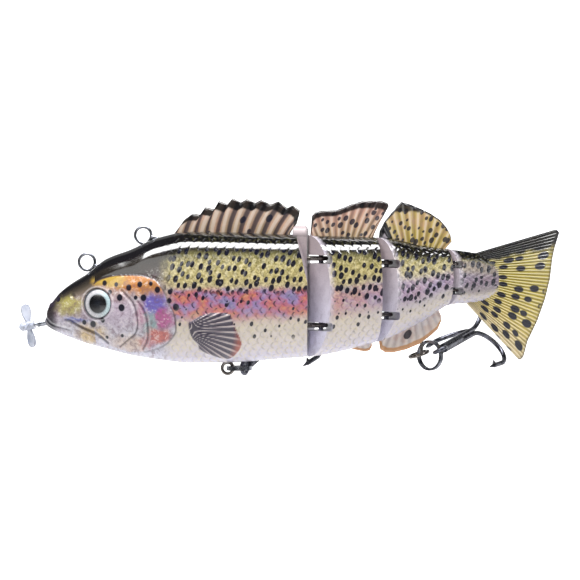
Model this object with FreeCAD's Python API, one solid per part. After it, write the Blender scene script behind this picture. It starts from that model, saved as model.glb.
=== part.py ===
import FreeCAD, Part
import math
import os

# Four-segment hard swimbait with a motor-driven nose propeller, in millimetres.
# The head faces -X, the back is +Z and the fish's left flank is -Y. The origin
# is the centre of the front line-tie eye. Every segment is shaped on a straight
# fish first, then swung about its hinge pins into the resting pose.

V = FreeCAD.Vector
UP = V(0, 0, 1)
ORIGIN = V(0, 0, 0)
FAR = 300.0

# ---- overall sizes -----------------------------------------------------------
width_scale = 1.0            # body width over the width in the station list
wall = 1.7                   # moulded shell wall
fin_half = 0.8               # half the thickness of the back and belly fins
tail_half = 1.0              # half the thickness of the tail fin

# ---- the body: x, back height, belly height, half width ----------------------
stations = [
    (-10.4, -11.9, -15.9, 1.8),
    (-9.0, -10.2, -16.7, 3.2),
    (-6.8, -7.6, -17.8, 4.6),
    (-4.0, -5.4, -18.9, 5.7),
    (0.0, -2.9, -20.3, 7.0),
    (5.0, 0.9, -21.6, 8.3),
    (11.0, 3.2, -23.1, 9.5),
    (18.0, 6.2, -24.2, 10.2),
    (26.0, 7.7, -25.0, 10.5),
    (36.0, 7.6, -24.9, 10.5),
    (47.0, 7.2, -24.0, 10.1),
    (58.0, 6.8, -23.0, 9.2),
    (66.5, 6.5, -21.3, 8.1),
    (75.0, 6.2, -18.9, 6.8),
    (84.0, 4.3, -14.9, 5.2),
    (92.5, 3.1, -10.4, 3.5),
    (98.5, 2.2, -10.2, 2.3),
    (104.5, 0.0, -8.5, 0.8),
]

# ---- hinges ------------------------------------------------------------------
segment_gap = 0.4            # air between a segment's nose and the socket before it
hinge_play = 0.05            # radial clearance of a loop on its pin
slot_play = 0.35             # air round a loop inside its slot
leg_depth = 4.5              # how far a loop's legs are moulded in
tongue_half = 2.3            # half width of the ridge left at the first hinge
swing_each_way = [22.0, 22.0, 18.0]
hinge_x = [58.9, 75.2, 92.6]
nose_radius = [3.2, 2.5, 1.7]
bevel_angle = [60.0, 58.0, 55.0]
rest_bend = [12.0, 9.0, 4.0]
pin_radius = [0.6, 0.6, 0.45]
loop_wire = [1.1, 1.0, 0.8]  # wire diameter of the hinge loops
loop_heights = [(1.1, -15.5), (0.0, -12.9), (-0.4, -7.0)]
pin_ends = [(4.2, -19.0), (3.2, -15.8), (1.6, -9.0)]

# ---- line ties ---------------------------------------------------------------
tie_wire = 0.8               # wire diameter
tie_ring = 2.0               # ring radius to the wire's centre
tie_bore = 1.7               # radius of the worn land inside the ring
tie_stem_length = 7.6
tie_boss = 1.7               # boss radius round each stem
tie_places = [(0.0, 0.0, 24.0), (14.25, 6.75, 13.0)]

# ---- drive -------------------------------------------------------------------
shaft_tilt = 11.0            # the shaft runs down towards the nose
shaft_start = V(-16.2, 0, -16.3)
shaft_radius = 0.4
shaft_length = 21.0
running_play = 0.05
tube_radius = 0.75
tube_start = 3.6
tube_length = 10.5
seal_radius = 1.8
seal_length = 2.0
motor_radius = 4.0
motor_length = 16.0
motor_start = 17.6
end_cap_length = 2.0
hub_radius = 1.1
hub_length = 2.8
blade_count = 4
blade_tip = 5.5
blade_width = 2.5
blade_thickness = 0.6
blade_pitch = 38.0

# ---- power and control -------------------------------------------------------
battery_size = (20.0, 7.0, 12.5)
battery_centre = V(37.0, 0, -9.0)
board_size = (19.0, 9.0, 0.9)
board_centre = V(34.0, 0, 1.6)
light_radius = 1.5
light_length = 3.4
lead_radius = 0.35
ballast_size = (14.0, 6.4, 3.0)
ballast_centre = V(24.0, 0, -20.9)
web_thickness = 1.5
web_places = [8.5, 16.5, 25.8, 48.2]

# ---- eyes --------------------------------------------------------------------
eye_radius = 3.6
eye_dome = 9.0
eye_depth = 2.0
eye_place = (4.0, -10.1)
eye_turn = 16.0              # the eyes look this far forward of square

# ---- hooks and rings: directions are degrees round the straight segment -------
hanger_wire = 0.8
ring_band = 0.6              # radial width of a split ring's coil
ring_coil = 0.55             # thickness of one coil
belly_ring_radius = 2.9
rear_ring_radius = 3.5
belly_eye_radius = 1.4
rear_eye_radius = 2.4
hook_wire = 1.2
hook_length = 26.0
hook_bend = 5.2
hook_point = 7.0
hook_eye = 1.5
hook_eye_wire = 1.0
hanger_foot = 1.2
belly_eye = V(35.5, 0, -26.3)
belly_stem = 5.5
belly_hook_turn = 70.0
belly_hook_lift = 20.0
belly_hook_roll = 0.0
rear_eye = V(84.4, rear_eye_radius + 0.3, -23.0)
rear_eye_tilt = 18.0
rear_stem_top = -12.6
rear_ring_turn = -54.0
rear_ring_drop = 0.2
rear_hook_place = 25.0
rear_hook_yaw = 50.5
rear_hook_lift = 10.0
rear_hook_roll = 70.0


def rotated(shape, degrees, axis=UP, at=ORIGIN):
    turned = shape.copy()
    turned.rotate(at, axis, degrees)
    return turned


def fuse_all(shapes):
    whole = shapes[0].fuse(shapes[1:]) if len(shapes) > 1 else shapes[0]
    return whole.removeSplitter()


def biggest_solid(shape):
    return max(shape.Solids, key=lambda solid: solid.Volume)


# ---- body --------------------------------------------------------------------
def section(x, top, bottom, half):
    """A closed egg-shaped ring round the body at one station."""
    middle = top - 0.52 * (top - bottom)
    points = []
    for step in range(16):
        angle = math.radians(22.5 * step)
        side = math.sin(angle)
        lift = math.cos(angle)
        reach = top - middle if lift > 0 else middle - bottom
        y = math.copysign(half * abs(side) ** 0.86, side)
        points.append(V(x, y if abs(side) > 1e-9 else 0.0, middle + reach * lift))
    curve = Part.BSplineCurve()
    curve.interpolate(Points=points, PeriodicFlag=True)
    return Part.Wire(curve.toShape())


def body(inset=0.0):
    """The whole straight body, its skin moved inwards by the inset."""
    rings = []
    for x, top, bottom, half in stations:
        width = max(half * width_scale - inset, 0.25)
        rings.append(section(x, top - inset, bottom + inset, width))
    return Part.makeLoft(rings, True, False)


def slab(x0, x1, z0=-60.0, z1=60.0):
    return Part.makeBox(x1 - x0, 120.0, z1 - z0, V(x0, -60.0, z0))


def side_block(side):
    """Everything on one side of the middle plane; side is -1 left, +1 right."""
    return Part.makeBox(2 * FAR, 60.0, 2 * FAR, V(-FAR, 0.0 if side > 0 else -60.0, -FAR))


def wedge(joint, extra_radius, extra_angle):
    """A rounded wedge pointing forwards, centred on a hinge pin, as tall as needed."""
    x = hinge_x[joint]
    radius = nose_radius[joint] + extra_radius
    angle = math.radians(bevel_angle[joint] + extra_angle)
    touch = V(x - radius * math.sin(angle), -radius * math.cos(angle), -60.0)
    run = 40.0 / math.sin(angle)
    corner = touch + V(run * math.cos(angle), -run * math.sin(angle), 0)
    back = V(FAR, corner.y, -60.0)
    mirror = [V(p.x, -p.y, p.z) for p in (touch, corner, back)]
    nose = Part.Arc(mirror[0], V(x - radius, 0, -60.0), touch).toShape()
    sides = [
        Part.makeLine(touch, corner),
        Part.makeLine(corner, back),
        Part.makeLine(back, mirror[2]),
        Part.makeLine(mirror[2], mirror[1]),
        Part.makeLine(mirror[1], mirror[0]),
    ]
    return Part.Face(Part.Wire([nose] + sides)).extrude(V(0, 0, 120.0))


def plate(points, half):
    """A flat fin lying on the middle plane."""
    outline = [V(x, -half, z) for x, z in points]
    return Part.Face(Part.makePolygon(outline + outline[:1])).extrude(V(0, 2 * half, 0))


def spiny_fin():
    tips = [(26.6, 12.1), (29.9, 13.8), (33.3, 15.3), (36.7, 16.0), (40.3, 15.8),
            (43.9, 15.6), (48.2, 15.3), (51.8, 14.3)]
    points = [(24.0, 3.0), (22.9, 6.3), (23.4, 8.6), (24.6, 10.6)]
    for tip, following in zip(tips, tips[1:]):
        points.append(tip)
        points.append(((tip[0] + following[0]) / 2 + 0.5, min(tip[1], following[1]) - 0.9))
    points += [tips[-1], (53.8, 13.0), (53.2, 11.7), (52.7, 9.2), (52.4, 7.0), (52.0, 3.0)]
    return plate(points, fin_half)


def middle_fin():
    points = [(57.2, 3.0), (56.1, 6.6), (56.6, 11.6), (57.4, 12.5), (59.0, 12.9), (62.5, 13.0),
              (64.2, 13.6), (66.7, 14.6), (69.2, 15.3), (73.6, 15.4), (75.4, 14.9), (75.9, 14.0),
              (74.9, 12.4), (73.3, 9.6), (72.2, 7.0), (70.8, 3.0)]
    return plate(points, fin_half)


def rear_fin():
    points = [(75.2, 3.0), (73.0, 5.6), (73.2, 7.6), (74.7, 10.2), (76.8, 12.7), (78.9, 15.2),
              (81.4, 14.5), (83.9, 13.5), (86.5, 12.3), (89.0, 10.7), (90.9, 8.7), (91.9, 6.8),
              (92.3, 5.0), (91.5, 3.9), (89.4, 3.6), (87.0, 1.0)]
    return plate(points, fin_half)


def pelvic_fin():
    points = [(63.8, -19.5), (66.2, -21.4), (68.2, -21.9), (70.0, -22.2), (71.1, -21.9),
              (71.7, -20.8), (71.6, -18.0), (66.0, -17.0)]
    return plate(points, fin_half)


def anal_fin():
    points = [(75.0, -15.0), (73.1, -19.0), (73.5, -21.6), (74.9, -22.4), (76.8, -22.5),
              (80.2, -21.8), (84.0, -20.3), (86.6, -18.4), (88.6, -16.8), (89.6, -14.6),
              (89.4, -12.8), (88.2, -10.8), (83.0, -11.0)]
    return plate(points, fin_half)


def tail_fin():
    points = [(98.3, 2.6), (102.2, 4.0), (107.5, 5.3), (112.7, 6.8), (118.0, 7.8), (120.4, 8.0),
              (121.1, 7.2), (119.8, 3.5), (119.2, 1.0), (118.5, -4.5), (117.2, -9.5),
              (115.1, -15.0), (112.5, -20.0), (111.4, -24.0), (110.6, -24.8), (108.4, -23.8),
              (104.8, -21.2), (101.2, -17.8), (98.3, -14.0), (96.4, -11.9), (95.0, -8.0),
              (96.0, 0.0)]
    return plate(points, tail_half)


def side_fins():
    """The raised pectoral fins moulded on both flanks."""
    points = [(27.2, -14.5), (31.0, -12.5), (35.3, -12.0), (37.5, -12.5), (38.5, -15.0),
              (39.8, -18.3), (40.0, -20.3), (36.3, -24.2), (33.1, -23.5), (29.5, -21.5),
              (29.3, -20.3)]
    outline = [V(x, -30.0, z) for x, z in points]
    column = Part.Face(Part.makePolygon(outline + outline[:1])).extrude(V(0, 60.0, 0))
    return body(-0.6).common(column).cut(body(0.8))


# ---- hinge hardware ----------------------------------------------------------
def hinge_loop(joint, height):
    """A U of wire lying flat: its legs in the segment before, its bend round the pin."""
    wire = loop_wire[joint] / 2
    bend = pin_radius[joint] + hinge_play + wire
    reach = nose_radius[joint] + segment_gap + leg_depth
    centre = V(hinge_x[joint], 0, height)
    arc = Part.Arc(centre + V(0, -bend, 0), centre + V(bend, 0, 0), centre + V(0, bend, 0))
    left = Part.makeLine(centre + V(-reach, -bend, 0), centre + V(0, -bend, 0))
    right = Part.makeLine(centre + V(0, bend, 0), centre + V(-reach, bend, 0))
    path = Part.Wire([left, arc.toShape(), right])
    profile = Part.Wire(Part.makeCircle(wire, centre + V(-reach, -bend, 0), V(1, 0, 0)))
    return path.makePipeShell([profile], True, True)


def hinge_slot(joint, height):
    """The cross slot in the next segment that the loop swings in."""
    wire = loop_wire[joint] / 2
    depth = pin_radius[joint] + hinge_play + 2 * wire + slot_play
    tall = 2 * wire + 3 * slot_play
    low = height - wire - 2 * slot_play
    start = hinge_x[joint] - nose_radius[joint] - 5.0
    end = hinge_x[joint] + depth
    cutter = Part.makeBox(end - start, 60.0, tall, V(start, -30.0, low))
    edges = [e for e in cutter.Edges if abs(e.CenterOfMass.x - end) < 1e-6 and e.Length > 50]
    return cutter.makeFillet(0.45, edges)


def hinge_pin(joint):
    top, bottom = pin_ends[joint]
    return Part.makeCylinder(pin_radius[joint], top - bottom, V(hinge_x[joint], 0, bottom))


# ---- drive -------------------------------------------------------------------
def along_shaft(distance):
    angle = math.radians(shaft_tilt)
    return shaft_start + V(math.cos(angle), 0, math.sin(angle)) * distance


def shaft_rod(radius, start, length):
    angle = math.radians(shaft_tilt)
    direction = V(math.cos(angle), 0, math.sin(angle))
    return Part.makeCylinder(radius, length, along_shaft(start), direction)


def propeller():
    """Hub and paddle blades, shaped along +X and then tilted with the shaft."""
    hub = Part.makeCylinder(hub_radius, hub_length, V(0, 0, 0), V(1, 0, 0))
    nose = Part.makeSphere(hub_radius, ORIGIN)
    half = blade_width / 2
    outline = [V(-0.45, 0, 0.4), V(-0.6, 0, 1.2), V(-half, 0, 3.0), V(-half, 0, 4.3),
               V(-0.7 * half, 0, 5.2), V(0, 0, blade_tip), V(0.7 * half, 0, 5.2),
               V(half, 0, 4.3), V(half, 0, 3.0), V(0.6, 0, 1.2), V(0.45, 0, 0.4)]
    flat = Part.Face(Part.makePolygon(outline + outline[:1]))
    blade = flat.extrude(V(0, blade_thickness, 0))
    blade.translate(V(0, -blade_thickness / 2, 0))
    blade.rotate(ORIGIN, UP, blade_pitch)
    blade.translate(V(hub_length / 2, 0, 0))
    blades = [rotated(blade, 360.0 * n / blade_count, V(1, 0, 0)) for n in range(blade_count)]
    screw = fuse_all([hub, nose] + blades)
    screw.rotate(ORIGIN, V(0, 1, 0), -shaft_tilt)
    screw.translate(along_shaft(0))
    return screw.cut(shaft_rod(shaft_radius, 0.6, shaft_length))


def drive_parts():
    shaft = shaft_rod(shaft_radius, 0.6, shaft_length)
    free = shaft_rod(shaft_radius + running_play, -1.0, shaft_length + 2.0)
    tube = shaft_rod(tube_radius, tube_start, tube_length).cut(free)
    seal_at = tube_start + tube_length
    seal = shaft_rod(seal_radius, seal_at, seal_length).cut(free)
    can = shaft_rod(motor_radius, motor_start, motor_length)
    collar = shaft_rod(seal_radius, seal_at + seal_length, motor_start - seal_at - seal_length)
    motor = can.fuse(collar).removeSplitter().cut(free)
    cap = shaft_rod(motor_radius - 0.3, motor_start + motor_length, end_cap_length)
    return {"propeller_shaft": shaft, "stern_tube": tube, "shaft_seal": seal,
            "motor_can": motor, "motor_end_cap": cap}


# ---- power and control -------------------------------------------------------
def block(size, centre, rounding):
    length, width, height = size
    corner = centre - V(length / 2, width / 2, height / 2)
    solid = Part.makeBox(length, width, height, corner)
    edges = [e for e in solid.Edges if abs(e.Vertexes[0].X - e.Vertexes[1].X) > 1]
    return solid.makeFillet(rounding, edges)


def lead(points):
    """An insulated wire through the points, round and smooth."""
    curve = Part.BSplineCurve()
    curve.interpolate(points)
    path = Part.Wire(curve.toShape())
    first = curve.tangent(curve.FirstParameter)[0]
    profile = Part.Wire(Part.makeCircle(lead_radius, points[0], first))
    return path.makePipeShell([profile], True, True)


def trimmed(leads, ends):
    """Leads cut off flush with the pieces they are soldered to."""
    return Part.makeCompound([biggest_solid(wire.cut(ends)) for wire in leads])


def power_parts():
    cell = block(battery_size, battery_centre, 2.4)
    board = block(board_size, board_centre, 0.3)
    board_low = board_centre.z - board_size[2] / 2
    light = Part.makeCylinder(light_radius, light_length - light_radius,
                              V(board_centre.x - 5.0, 0, board_low), V(0, 0, -1))
    dome = Part.makeSphere(light_radius, V(board_centre.x - 5.0, 0,
                                           board_low - light_length + light_radius))
    slug = block(ballast_size, ballast_centre, 1.2)
    end = along_shaft(motor_start + motor_length + end_cap_length)
    front = board_centre.x - board_size[0] / 2
    motor_leads = []
    battery_leads = []
    for side in (-1, 1):
        motor_leads.append(lead([end + V(-0.3, 1.6 * side, 0.6),
                                 end + V(3.0, 2.2 * side, 1.4),
                                 V(front - 1.6, 2.6 * side, board_centre.z - 1.4),
                                 V(front + 0.4, 2.6 * side, board_centre.z)]))
        tab = battery_centre + V(battery_size[0] / 2, 1.8 * side, 4.2)
        board_end = board_centre + V(board_size[0] / 2, 2.4 * side, 0)
        battery_leads.append(lead([tab - V(0.3, 0, 0), tab + V(1.4, 0, 1.2),
                                   V(tab.x, tab.y, board_centre.z - 0.4),
                                   board_end - V(0.4, 0, 0)]))
    cap = drive_parts()["motor_end_cap"]
    return {"battery_cell": cell, "circuit_board": board,
            "status_light": light.fuse(dome).removeSplitter(), "ballast_weight": slug,
            "motor_leads": trimmed(motor_leads, [cap, board]),
            "battery_leads": trimmed(battery_leads, [cell, board])}


# ---- line ties and eyes ------------------------------------------------------
def tie_direction(fall):
    angle = math.radians(fall)
    return V(math.cos(angle), 0, -math.sin(angle))


def line_tie(x, z, fall):
    """A wire ring with its stem; a worn land inside gives the ring its bore."""
    centre = V(x, 0, z)
    ring = Part.makeTorus(tie_ring, tie_wire / 2, centre, V(0, 1, 0))
    direction = tie_direction(fall)
    stem = Part.makeCylinder(tie_wire / 2 + 0.1, tie_stem_length - tie_ring,
                             centre + direction * tie_ring, direction)
    foot = Part.makeCylinder(1.1, 0.7, centre + direction * (tie_stem_length - 0.7), direction)
    bore = Part.makeCylinder(tie_bore, 4.0, centre - V(0, 2.0, 0), V(0, 1, 0))
    return ring.fuse([stem, foot]).cut(bore)


def tie_post(x, z, fall):
    direction = tie_direction(fall)
    return Part.makeCylinder(tie_boss, tie_stem_length, V(x, 0, z) + direction * 2.4, direction)


def contact_lead(x, z, fall, side):
    foot = V(x, 0, z) + tie_direction(fall) * tie_stem_length
    front = board_centre.x - board_size[0] / 2
    rise = V(-0.2, 0, 0)
    return lead([foot + rise, foot + V(2.0, 0.6 * side, -0.6),
                 V(front - 3.0, 1.0 * side, board_centre.z + 1.0),
                 V(front + 0.6, 1.0 * side, board_centre.z + board_size[2] / 2)])


def half_width_at(x, z):
    line = Part.makeLine(V(x, 0, z), V(x, -40.0, z))
    return line.common(body()).Length


def eye(side, socket=False):
    """A domed disc set in a round socket, facing outwards and a little forwards."""
    x, z = eye_place
    angle = math.radians(eye_turn)
    out = V(-math.sin(angle), side * math.cos(angle), 0)
    seat = V(x, side * (half_width_at(x, z) + 0.35), z)
    disc = Part.makeCylinder(eye_radius, eye_depth + 2.0, seat - out * eye_depth, out)
    if socket:
        return disc
    ball = Part.makeSphere(eye_dome, seat - out * (eye_dome - 0.7))
    return disc.common(ball)


# ---- hooks and rings ---------------------------------------------------------
def split_ring(radius):
    """Two coils side by side in one ring, round +Z at the origin."""
    coils = []
    for level in (-ring_coil, 0.0):
        outer = Part.makeCylinder(radius + ring_band / 2, ring_coil - 0.05, V(0, 0, level + 0.025))
        inner = Part.makeCylinder(radius - ring_band / 2, 4.0, V(0, 0, -2.0))
        coils.append(outer.cut(inner))
    core_out = Part.makeCylinder(radius + ring_band / 2 - 0.1, 0.4, V(0, 0, -0.2))
    core_in = Part.makeCylinder(radius - ring_band / 2 + 0.1, 4.0, V(0, 0, -2.0))
    return fuse_all(coils + [core_out.cut(core_in)])


def placed(shape, origin, x_axis, z_axis):
    """Puts a shape made at the origin into a frame given by two directions."""
    z_axis = V(z_axis).normalize()
    y_axis = z_axis.cross(x_axis).normalize()
    x_axis = y_axis.cross(z_axis)
    matrix = FreeCAD.Matrix(x_axis.x, y_axis.x, z_axis.x, origin.x,
                            x_axis.y, y_axis.y, z_axis.y, origin.y,
                            x_axis.z, y_axis.z, z_axis.z, origin.z, 0, 0, 0, 1)
    moved = shape.copy()
    moved.transformShape(matrix)
    return moved


def hook_arm():
    """One of the three points: a straight shank, a round bend and a barbed tip."""
    wire = hook_wire / 2
    offset = wire * 1.1
    start = V(hook_eye + 0.3, 0, offset)
    turn = V(hook_length - hook_bend, 0, offset)
    across = turn + V(0, 0, 2 * hook_bend)
    end = across + V(-hook_point + 2.4, 0, -0.5)
    bend = Part.Arc(turn, turn + V(hook_bend, 0, hook_bend), across)
    path = Part.Wire([Part.makeLine(start, turn), bend.toShape(), Part.makeLine(across, end)])
    profile = Part.Wire(Part.makeCircle(wire, start, V(1, 0, 0)))
    rod = path.makePipeShell([profile], True, True, 2)
    lean = V(end.x - across.x, 0, end.z - across.z).normalize()
    tip = Part.makeCone(wire, 0.08, 2.6, end - lean * 0.02, lean)
    barb = plate([(end.x - 0.4, end.z - 0.3), (end.x + 1.6, end.z - 1.25),
                  (end.x + 1.2, end.z - 0.2)], 0.25)
    return rod.fuse([tip, barb])


def treble_hook(roll):
    """Three arms brazed into one shank behind an eye; the shank runs along +X."""
    arms = [rotated(hook_arm(), roll + 120.0 * n, V(1, 0, 0)) for n in range(3)]
    ring = Part.makeTorus(hook_eye, hook_eye_wire / 2, ORIGIN, V(0, 1, 0))
    braze = Part.makeCylinder(hook_wire * 0.95, 11.0, V(hook_eye + 0.1, 0, 0), V(1, 0, 0))
    return fuse_all([ring, braze] + arms)


def flat_direction(degrees):
    return V(math.cos(math.radians(degrees)), math.sin(math.radians(degrees)), 0)


def lifted(direction, degrees):
    return direction * math.cos(math.radians(degrees)) + UP * math.sin(math.radians(degrees))


def belly_hanger():
    """A wire eye under the belly whose stem runs up into the shell."""
    top = belly_eye + UP * (belly_eye_radius + belly_stem)
    ring = Part.makeTorus(belly_eye_radius, hanger_wire / 2, belly_eye, V(0, 1, 0))
    stem = Part.makeCylinder(hanger_wire / 2, belly_stem, top - UP * belly_stem, UP)
    foot = Part.makeCylinder(hanger_foot, hanger_wire, top - UP * hanger_wire, UP)
    return ring.fuse([stem, foot])


def rear_hanger():
    """A wire eye bent over to the far side, hung on a long stem."""
    tilt = math.radians(rear_eye_tilt)
    axis = V(-math.sin(tilt), 0, math.cos(tilt))
    low = V(rear_eye.x, rear_eye.y - rear_eye_radius, rear_eye.z)
    top = V(low.x, low.y, rear_stem_top)
    ring = Part.makeTorus(rear_eye_radius, hanger_wire / 2, rear_eye, axis)
    stem = Part.makeCylinder(hanger_wire / 2, rear_stem_top - low.z, low, UP)
    foot = Part.makeCylinder(hanger_foot, hanger_wire, top - UP * hanger_wire, UP)
    return ring.fuse([stem, foot])


def belly_tackle():
    """The ring lies flat under the belly and its hook is folded up the far side."""
    centre = belly_eye + V(belly_ring_radius, 0, 0)
    ring = placed(split_ring(belly_ring_radius), centre, V(1, 0, 0), UP)
    radial = flat_direction(belly_hook_turn)
    shank = lifted(radial, belly_hook_lift)
    place = centre + radial * belly_ring_radius
    tangent = UP.cross(radial)
    hook = placed(treble_hook(belly_hook_roll), place, shank, shank.cross(tangent))
    return ring, hook


def rear_tackle():
    """The ring stands upright through its hanger and the hook trails from it."""
    plane = flat_direction(rear_ring_turn)
    centre = rear_eye + plane * rear_ring_radius - UP * rear_ring_drop
    ring = placed(split_ring(rear_ring_radius), centre, plane, plane.cross(UP))
    place = centre + lifted(plane, rear_hook_place) * rear_ring_radius
    tangent = lifted(plane, rear_hook_place + 90.0)
    shank = lifted(flat_direction(rear_hook_yaw), rear_hook_lift)
    hook = placed(treble_hook(rear_hook_roll), place, shank, shank.cross(tangent))
    return ring, hook


# ---- segments ----------------------------------------------------------------
def between_hinges(index):
    """The skin volume of one straight segment, shaped at both ends for its hinges."""
    solid = body()
    if index > 0:
        solid = solid.common(wedge(index - 1, 0.0, 0.0))
    if index < 3:
        solid = solid.cut(wedge(index, segment_gap, swing_each_way[index]))
    return biggest_solid(solid)


def cheek_cuts():
    """Slopes the upper rear corners of the head, leaving a tongue on the middle plane."""
    points = [(52.2, 9.5), (54.9, 1.5), (56.9, -6.0), (60.0, -6.0), (60.0, 9.5)]
    cuts = []
    for low, high in ((-30.0, -tongue_half), (tongue_half, 30.0)):
        outline = [V(x, low, z) for x, z in points]
        face = Part.Face(Part.makePolygon(outline + outline[:1]))
        cuts.append(face.extrude(V(0, high - low, 0)))
    return cuts


def tongue():
    """The rounded ridge under the end of the spiny fin."""
    ridge = Part.makeCylinder(tongue_half, 6.0, V(52.6, 0, 9.2 - tongue_half), V(1, 0, 0))
    return ridge.cut(wedge(0, segment_gap, swing_each_way[0]))


def head_inside():
    """The hollow of the head with its webs, posts and eye seats left standing."""
    hollow = body(wall).common(slab(0.6, 49.6))
    keep = [slab(x - web_thickness / 2, x + web_thickness / 2) for x in web_places]
    keep += [tie_post(*place) for place in tie_places]
    keep.append(Part.makeCylinder(2.2, 8.0, V(belly_eye.x, 0, -27.0), UP))
    for side in (-1, 1):
        x, z = eye_place
        seat = Part.makeCylinder(eye_radius + 1.0, 2 * eye_depth,
                                 V(x, side * (half_width_at(x, z) + 0.35), z),
                                 V(math.sin(math.radians(eye_turn)),
                                   -side * math.cos(math.radians(eye_turn)), 0))
        keep.append(seat)
    return hollow.cut(keep)


def chamber(start, end):
    return body(wall).common(slab(start, end))


def halves(name, solid, cutters):
    """Splits a moulding on the middle plane and clears every piece it holds."""
    whole = solid.cut(cutters) if cutters else solid
    parts[name + "_left"] = biggest_solid(whole.common(side_block(-1)))
    parts[name + "_right"] = biggest_solid(whole.common(side_block(1)))


def hinge_hardware():
    for joint in range(3):
        parts["hinge_pin_%d" % (joint + 1)] = hinge_pin(joint)
        for label, height in zip(("upper", "lower"), loop_heights[joint]):
            parts["hinge_loop_%d_%s" % (joint + 1, label)] = hinge_loop(joint, height)


def loops_of(joint):
    return [parts["hinge_loop_%d_%s" % (joint + 1, label)] for label in ("upper", "lower")]


def nose_cutters(joint):
    """What the front of a segment gives way to: its pin and the two loop slots."""
    slots = [hinge_slot(joint, height) for height in loop_heights[joint]]
    return slots + [parts["hinge_pin_%d" % (joint + 1)]]


def head_parts():
    for name, place in zip(("line_tie_front", "line_tie_rear"), tie_places):
        parts[name] = line_tie(*place)
    parts.update(drive_parts())
    parts.update(power_parts())
    ends = [parts["line_tie_front"], parts["line_tie_rear"], parts["circuit_board"]]
    leads = [contact_lead(*tie_places[0], -1), contact_lead(*tie_places[1], 1)]
    parts["contact_leads"] = trimmed(leads, ends)
    parts["belly_hook_hanger"] = belly_hanger()
    parts["belly_split_ring"], parts["belly_treble_hook"] = belly_tackle()
    parts["eye_left"] = eye(-1)
    parts["eye_right"] = eye(1)
    solid = between_hinges(0).cut(cheek_cuts()).fuse([spiny_fin(), side_fins(), tongue()])
    cutters = [head_inside(), eye(-1, True), eye(1, True), shaft_rod(tube_radius, -4.0, 20.0)]
    cutters += [parts[name] for name in ("shaft_seal", "motor_can", "motor_end_cap",
                                         "battery_cell", "circuit_board", "ballast_weight",
                                         "line_tie_front", "line_tie_rear", "belly_hook_hanger",
                                         "contact_leads", "motor_leads", "battery_leads")]
    halves("head_shell", solid, cutters + loops_of(0))


def middle_parts():
    solid = between_hinges(1).fuse([middle_fin(), pelvic_fin()])
    hollow = chamber(hinge_x[0] + 3.8, hinge_x[1] - nose_radius[1] - segment_gap - leg_depth - 0.8)
    halves("middle_shell", solid, nose_cutters(0) + loops_of(1) + [hollow])


def rear_parts():
    solid = between_hinges(2).fuse([rear_fin(), anal_fin()])
    parts["rear_hook_hanger"] = rear_hanger()
    hollow = chamber(hinge_x[1] + 3.6, rear_eye.x - 2.0)
    cutters = nose_cutters(1) + loops_of(2) + [hollow, parts["rear_hook_hanger"]]
    halves("rear_shell", solid, cutters)
    parts["rear_split_ring"], parts["rear_treble_hook"] = rear_tackle()


def tail_parts():
    halves("tail_shell", between_hinges(3).fuse([tail_fin()]), nose_cutters(2))


def bend_to_rest(names, joint):
    """Swings everything behind a hinge, working from the tail forwards."""
    for name in names:
        parts[name] = rotated(parts[name], rest_bend[joint], UP, V(hinge_x[joint], 0, 0))


parts = {}
hinge_hardware()
head_parts()
middle_parts()
rear_parts()
tail_parts()
parts["propeller"] = propeller()

behind = [["hinge_pin_3", "tail_shell_left", "tail_shell_right"]]
behind.insert(0, behind[0] + ["rear_shell_left", "rear_shell_right", "hinge_pin_2",
                              "hinge_loop_3_upper", "hinge_loop_3_lower", "rear_hook_hanger",
                              "rear_split_ring", "rear_treble_hook"])
behind.insert(0, behind[0] + ["middle_shell_left", "middle_shell_right", "hinge_pin_1",
                              "hinge_loop_2_upper", "hinge_loop_2_lower"])
for joint in (2, 1, 0):
    bend_to_rest(behind[joint], joint)

os.makedirs("parts", exist_ok=True)
for name, shape in parts.items():
    shape.exportStep("parts/" + name + ".step")
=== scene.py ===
import contextlib
import math

import bmesh
import bpy
import numpy as np
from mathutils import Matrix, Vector


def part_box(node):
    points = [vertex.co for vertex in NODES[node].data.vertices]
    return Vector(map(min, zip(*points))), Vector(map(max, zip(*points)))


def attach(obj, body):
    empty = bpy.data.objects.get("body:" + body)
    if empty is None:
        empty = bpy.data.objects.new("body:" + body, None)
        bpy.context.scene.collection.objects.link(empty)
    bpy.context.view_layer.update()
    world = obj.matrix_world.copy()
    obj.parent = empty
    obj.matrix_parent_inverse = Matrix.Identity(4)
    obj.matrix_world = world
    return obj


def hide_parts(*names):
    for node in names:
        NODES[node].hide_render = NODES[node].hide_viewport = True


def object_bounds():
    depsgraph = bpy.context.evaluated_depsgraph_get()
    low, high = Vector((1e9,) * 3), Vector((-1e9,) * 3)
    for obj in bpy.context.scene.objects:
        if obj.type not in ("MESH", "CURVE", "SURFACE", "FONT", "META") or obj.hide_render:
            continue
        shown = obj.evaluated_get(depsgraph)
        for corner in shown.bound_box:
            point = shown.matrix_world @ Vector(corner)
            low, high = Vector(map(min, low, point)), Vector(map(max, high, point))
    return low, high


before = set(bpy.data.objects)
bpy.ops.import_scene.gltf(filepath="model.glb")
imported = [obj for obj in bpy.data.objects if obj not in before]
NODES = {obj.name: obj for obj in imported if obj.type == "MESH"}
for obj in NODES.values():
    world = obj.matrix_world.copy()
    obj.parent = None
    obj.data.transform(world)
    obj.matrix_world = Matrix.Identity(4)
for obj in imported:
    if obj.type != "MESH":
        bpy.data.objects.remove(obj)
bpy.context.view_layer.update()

MM = 0.001
SIDES = ((-1, "left"), (1, "right"))
BODIES = ["head", "middle", "rear", "tail"]

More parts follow.
